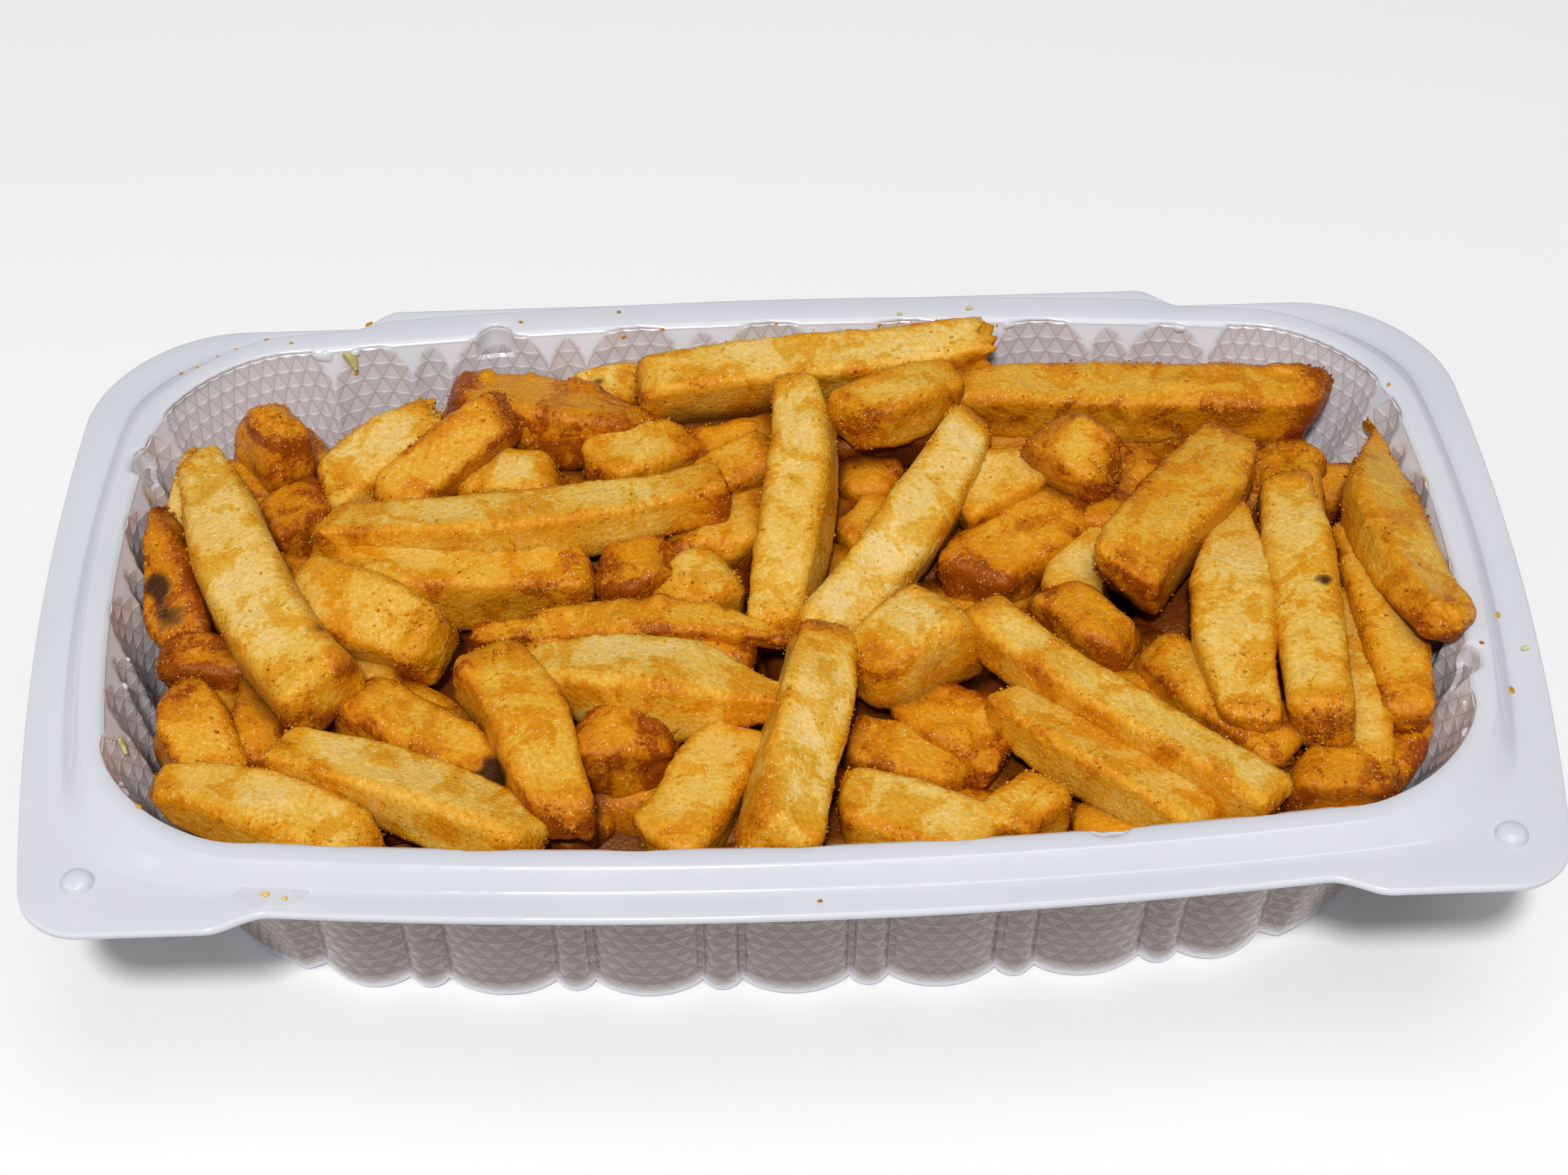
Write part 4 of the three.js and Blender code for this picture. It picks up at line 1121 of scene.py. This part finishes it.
crumbs = {
    # place, size and how dark it is fried
    "places": [
        (-99, 62, 52, 0.55, 0.5), (-93, 64, 52, 0.6, 0.5), (-105, 56, 52, 0.4, 0.5), (-102, 60, 52, 0.4, 0.4),
        (-109, 57, 52, 0.45, 0.6), (-88, 61, 52, 0.45, 0.5), (-75, 70, 49, 0.9, 0.7), (-46, 65, 52, 0.5, 0.4),
        (-28, 67, 52, 0.5, 0.7), (-20, 62, 52, 0.5, 0.6), (1, 62, 52, 0.4, 0.5), (21, 59, 52, 0.45, 0.6),
        (111, 41, 52, 0.5, 0.5), (111, 17, 52, 0.4, 0.5), (120, -14, 49, 0.7, 0.5), (119, -19, 49, 0.6, 0.5),
        (115, -23, 52, 0.5, 0.6), (119, -31, 49, 0.8, 0.6), (116, -33, 49, 0.6, 0.5), (-116, 12, 49, 0.8, 0.4),
        (-118, 14, 49, 0.6, 0.4), (-104, -49, 52, 0.7, 0.4), (-52, -60, 52, 0.35, 0.6), (3, -70, 49, 0.5, 0.7),
        (-27, 62, 50, 0.5, 0.7), (-6, 61, 48, 0.7, 0.6), (-83, -65, 50, 0.8, 0.05), (-80, -66, 50, 0.6, 0.1),
        (-84, 24, 54, 0.7, 0.5), (-108, 26, 49, 0.5, 0.6), (57, -58, 50, 0.6, 0.6), (-76, 57, 47, 0.5, 0.5),
    ],
}


def roundPoints(rings, around):
    # unit ball as points and faces
    points = [(0.0, 0.0, 1.0)]
    for k in range(1, rings):
        a = math.pi * k / rings
        points += [(math.sin(a) * math.cos(b), math.sin(a) * math.sin(b), math.cos(a))
                   for b in np.arange(around) / around * 2 * math.pi]
    points.append((0.0, 0.0, -1.0))
    faces = [(0, 1 + i, 1 + (i + 1) % around) for i in range(around)]
    faces += tubeFaces(rings - 1, around, 1)
    base, last = 1 + (rings - 2) * around, len(points) - 1
    faces += [(last, base + (i + 1) % around, base + i) for i in range(around)]
    return np.array(points), faces


def crumbPiece():
    ball, ballFaces = roundPoints(8, 12)
    points, faces, tones = [], [], []
    for k, (x, y, z, size, tone) in enumerate(crumbs["places"]):
        spot, out, side, up = onTray((x, y, z))
        shape = ball * (1 + 0.35 * lumps(ball + k * 3.7, 0.8, k)[:, None])
        local = shape * size * np.array([0.85, 0.6, 0.42])
        faces += [[v + len(ball) * k for v in face] for face in ballFaces]
        spread = np.outer(local[:, 0], side) + np.outer(local[:, 1], up) + np.outer(local[:, 2], out)
        points.append(spot + out * size * 0.3 + spread)
        tones.append(np.full(len(ball), tone))
    points = np.concatenate(points)
    makePiece("crumbs", points, faces, crust,
              crustValues(len(points), edge=0.3, tone=np.concatenate(tones)))


def leafMaterial():
    material, tree, shader = newMaterial("cookedOnion")
    vein = addNode(tree, "ShaderNodeTexNoise", Vector=objectPlace(tree), Scale=900.0, Detail=3.0)
    base = addRamp(tree, vein.outputs["Fac"],
                   [(0.3, (0.52, 0.47, 0.13)), (0.55, (0.66, 0.64, 0.28)), (0.75, (0.74, 0.75, 0.45))])
    addBump(tree, shader, vein.outputs["Fac"], 0.3, 0.0003)
    setSockets(tree, shader, Base_Color=base, Roughness=0.3, Subsurface_Weight=0.3, Subsurface_Scale=0.001)
    return material


onion = {
    # place, length, width, turn in degrees
    "shreds": [(-77, 57, 50, 4.6, 1.9, 115), (-113, -31, 49, 4.8, 0.9, -45), (-102, -33, 49, 3.2, 1.3, 80),
               (123, -22, 49, 1.4, 0.9, 20), (37, 65, 52, 1.3, 0.8, 10), (0, -56, 48, 5.5, 0.9, 20),
               (24, 64, 52, 1.0, 0.7, 0)],
    "thick": 0.25,
    "rows": 15,
    "columns": 7,
}


def onionPiece():
    rows, columns = onion["rows"], onion["columns"]
    middle, oneSide = columns // 2, rows * columns
    points, faces = [], []
    for x, y, z, length, width, degrees in onion["shreds"]:
        spot, out, side, up = onTray((x, y, z))
        turn = math.radians(degrees)
        along = side * math.cos(turn) + up * math.sin(turn)
        across = up * math.cos(turn) - side * math.sin(turn)
        base = len(points)
        for level in (1, -1):
            for i in range(rows):
                t = i / (rows - 1)
                wide = width / 2 * math.sin(math.pi * min(1, 0.06 + 0.88 * t)) ** 0.7
                bend = 0.12 * length * math.sin(math.pi * t)
                for j in range(columns):
                    c = (j - middle) / middle
                    curl = 0.25 + 0.22 * width * (1 - c * c) + 0.35 * (t - 0.5) ** 2 * width
                    rise = curl + level * onion["thick"] / 2
                    points.append(spot + along * (t - 0.5) * length + across * (c * wide + bend) + out * rise)
        for level in (0, 1):
            for i in range(rows - 1):
                for j in range(columns - 1):
                    a = base + level * oneSide + i * columns + j
                    quad = (a, a + columns, a + columns + 1, a + 1)
                    faces.append(quad if level == 0 else quad[::-1])
        # once around the edge
        rim = [i * columns for i in range(rows)] + [(rows - 1) * columns + j for j in range(1, columns)]
        rim += [i * columns + columns - 1 for i in range(rows - 2, -1, -1)] + list(range(columns - 2, 0, -1))
        for a, b in zip(rim, rim[1:] + rim[:1]):
            faces.append((base + a, base + a + oneSide, base + b + oneSide, base + b))
    makePiece("onionShreds", points, faces, leafMaterial())


def greaseMaterial():
    material, tree, shader = newMaterial("greaseFilm")
    cloud = addNode(tree, "ShaderNodeTexNoise", Vector=objectPlace(tree), Scale=400.0, Detail=2.0)
    base = addRamp(tree, cloud.outputs["Fac"], [(0.35, (0.65, 0.655, 0.705)), (0.7, (0.70, 0.71, 0.76))])
    addBump(tree, shader, cloud.outputs["Fac"], 0.15, 0.0004)
    setSockets(tree, shader, Base_Color=base, Roughness=0.04, Coat_Weight=1.0)
    return material


grease = {
    # place, radius, height, how much longer than wide
    "drops": [(105, -37, 51, 0.8, 0.5, 1.2), (107, -34, 50, 0.5, 0.35, 1.0), (-103, -15, 49, 0.8, 0.5, 1.3),
              (-104, -12, 49, 0.5, 0.3, 1.0), (-100, -38, 50, 0.9, 0.5, 1.2), (-101, -36, 49, 0.6, 0.4, 1.0),
              (-98, -41, 49, 0.7, 0.4, 1.3), (-76, 58, 51, 0.7, 0.4, 1.6), (-82, 58, 51, 1.1, 0.4, 1.8),
              (-82.5, -64.8, 50.3, 3.2, 0.16, 1.9), (75, 58, 51, 0.8, 0.4, 1.6), (44, 61, 51, 0.7, 0.3, 1.8)],
    "around": 28,
    "upper": (0.12, 0.35, 0.55, 0.75, 0.9, 0.97),            # shares of the radius, from the top down
    "lower": [(1.0, -0.06), (0.6, -0.15), (0.12, -0.15)],    # share and height under the surface
}


def greasePiece():
    # each drop is a closed skin that follows the tray, its lower side just under the surface
    points, faces = [], []
    around = grease["around"]
    for k, (x, y, z, radius, high, stretch) in enumerate(grease["drops"]):
        spot, _, side, up = onTray((x, y, z))
        base = len(points)
        levels = [(share, high * (0.02 + 0.98 * (1 - share ** 2))) for share in grease["upper"]] + grease["lower"]
        for share, rise in levels:
            for i in range(around):
                angle = i / around * 2 * math.pi
                r = radius * share * (1 + 0.12 * math.sin(angle * 3 + k) + 0.06 * math.sin(angle * 5 + 2 * k))
                below, out, _, _ = onTray(spot + side * r * stretch * math.cos(angle) + up * r * math.sin(angle))
                points.append(below + out * rise)
        last = base + (len(levels) - 1) * around
        faces += tubeFaces(len(levels), around, base)
        faces += [[base + i for i in range(around)], [last + around - 1 - i for i in range(around)]]
    makePiece("greaseDrops", points, faces, greaseMaterial())


crumbPiece()
onionPiece()
greasePiece()
print("crumbs, onion and grease made")


def stageFloor():
    material, tree, shader = newMaterial("paleFloor")
    setSockets(tree, shader, Base_Color=(0.97, 0.97, 0.975, 1), Roughness=0.9)
    far, low = 3, -0.0002
    mesh = bpy.data.meshes.new("floor")
    mesh.from_pydata([(-far, -far, low), (far, -far, low), (far, far, low), (-far, far, low)], [], [(0, 1, 2, 3)])
    mesh.materials.append(material)
    floor = addObject("floor", mesh)


stageFloor()

lamps = {
    "flash": {"place": (-0.12, -1.05, 1.70), "size": 0.20, "power": 27.5, "colour": (1.0, 0.99, 0.97)},
    "overhead": {"place": (0.15, -0.15, 1.3), "size": 0.9, "power": 3.4, "colour": (0.97, 0.98, 1.0)},
    "side": {"place": (-1.0, -0.3, 0.8), "size": 0.7, "power": 1.2, "colour": (0.97, 0.98, 1.0)},
}


def facing(right, up, back, place):
    return Matrix([(right[row], up[row], back[row], place[row]) for row in range(3)] + [(0, 0, 0, 1)])


def aimAt(place, target=(0.0, 0.0, 0.04)):
    away = np.array(place) - np.array(target)
    away /= np.linalg.norm(away)
    right = np.cross([0, 0, 1.0], away)
    right /= np.linalg.norm(right)
    return facing(right, np.cross(away, right), away, place)


for name, spec in lamps.items():
    data = bpy.data.lights.new(name, "AREA")
    data.shape = "DISK"
    data.size = spec["size"]
    data.energy = spec["power"]
    data.color = spec["colour"]
    addObject(name, data).matrix_world = aimAt(spec["place"])

world = bpy.data.worlds.new("studio")
bpy.context.scene.world = world
world.use_nodes = True
world.node_tree.nodes["Background"].inputs["Color"].default_value = (0.95, 0.97, 1.0, 1)
world.node_tree.nodes["Background"].inputs["Strength"].default_value = 0.2

view = {
    "place": (-12.13, -360.41, 420.11),
    "ahead": (0.02355, 0.69426, -0.71934),
    "yaw": 0.0339,
    "roll": -0.00677,
    "lens": 69.49,
}


def makeCamera():
    ahead = np.array(view["ahead"])
    ahead /= np.linalg.norm(ahead)
    right = np.array([math.cos(view["yaw"]), -math.sin(view["yaw"]), 0.0])
    up = np.cross(right, ahead)
    c, s = math.cos(view["roll"]), math.sin(view["roll"])
    data = bpy.data.cameras.new("camera")
    data.lens = view["lens"]
    data.sensor_width = 36
    camera = addObject("camera", data)
    camera.matrix_world = facing(c * right + s * up, c * up - s * right, -ahead, [v * mm for v in view["place"]])
    bpy.context.scene.camera = camera


makeCamera()
bpy.context.scene.view_settings.view_transform = "Standard"
print("stage made")
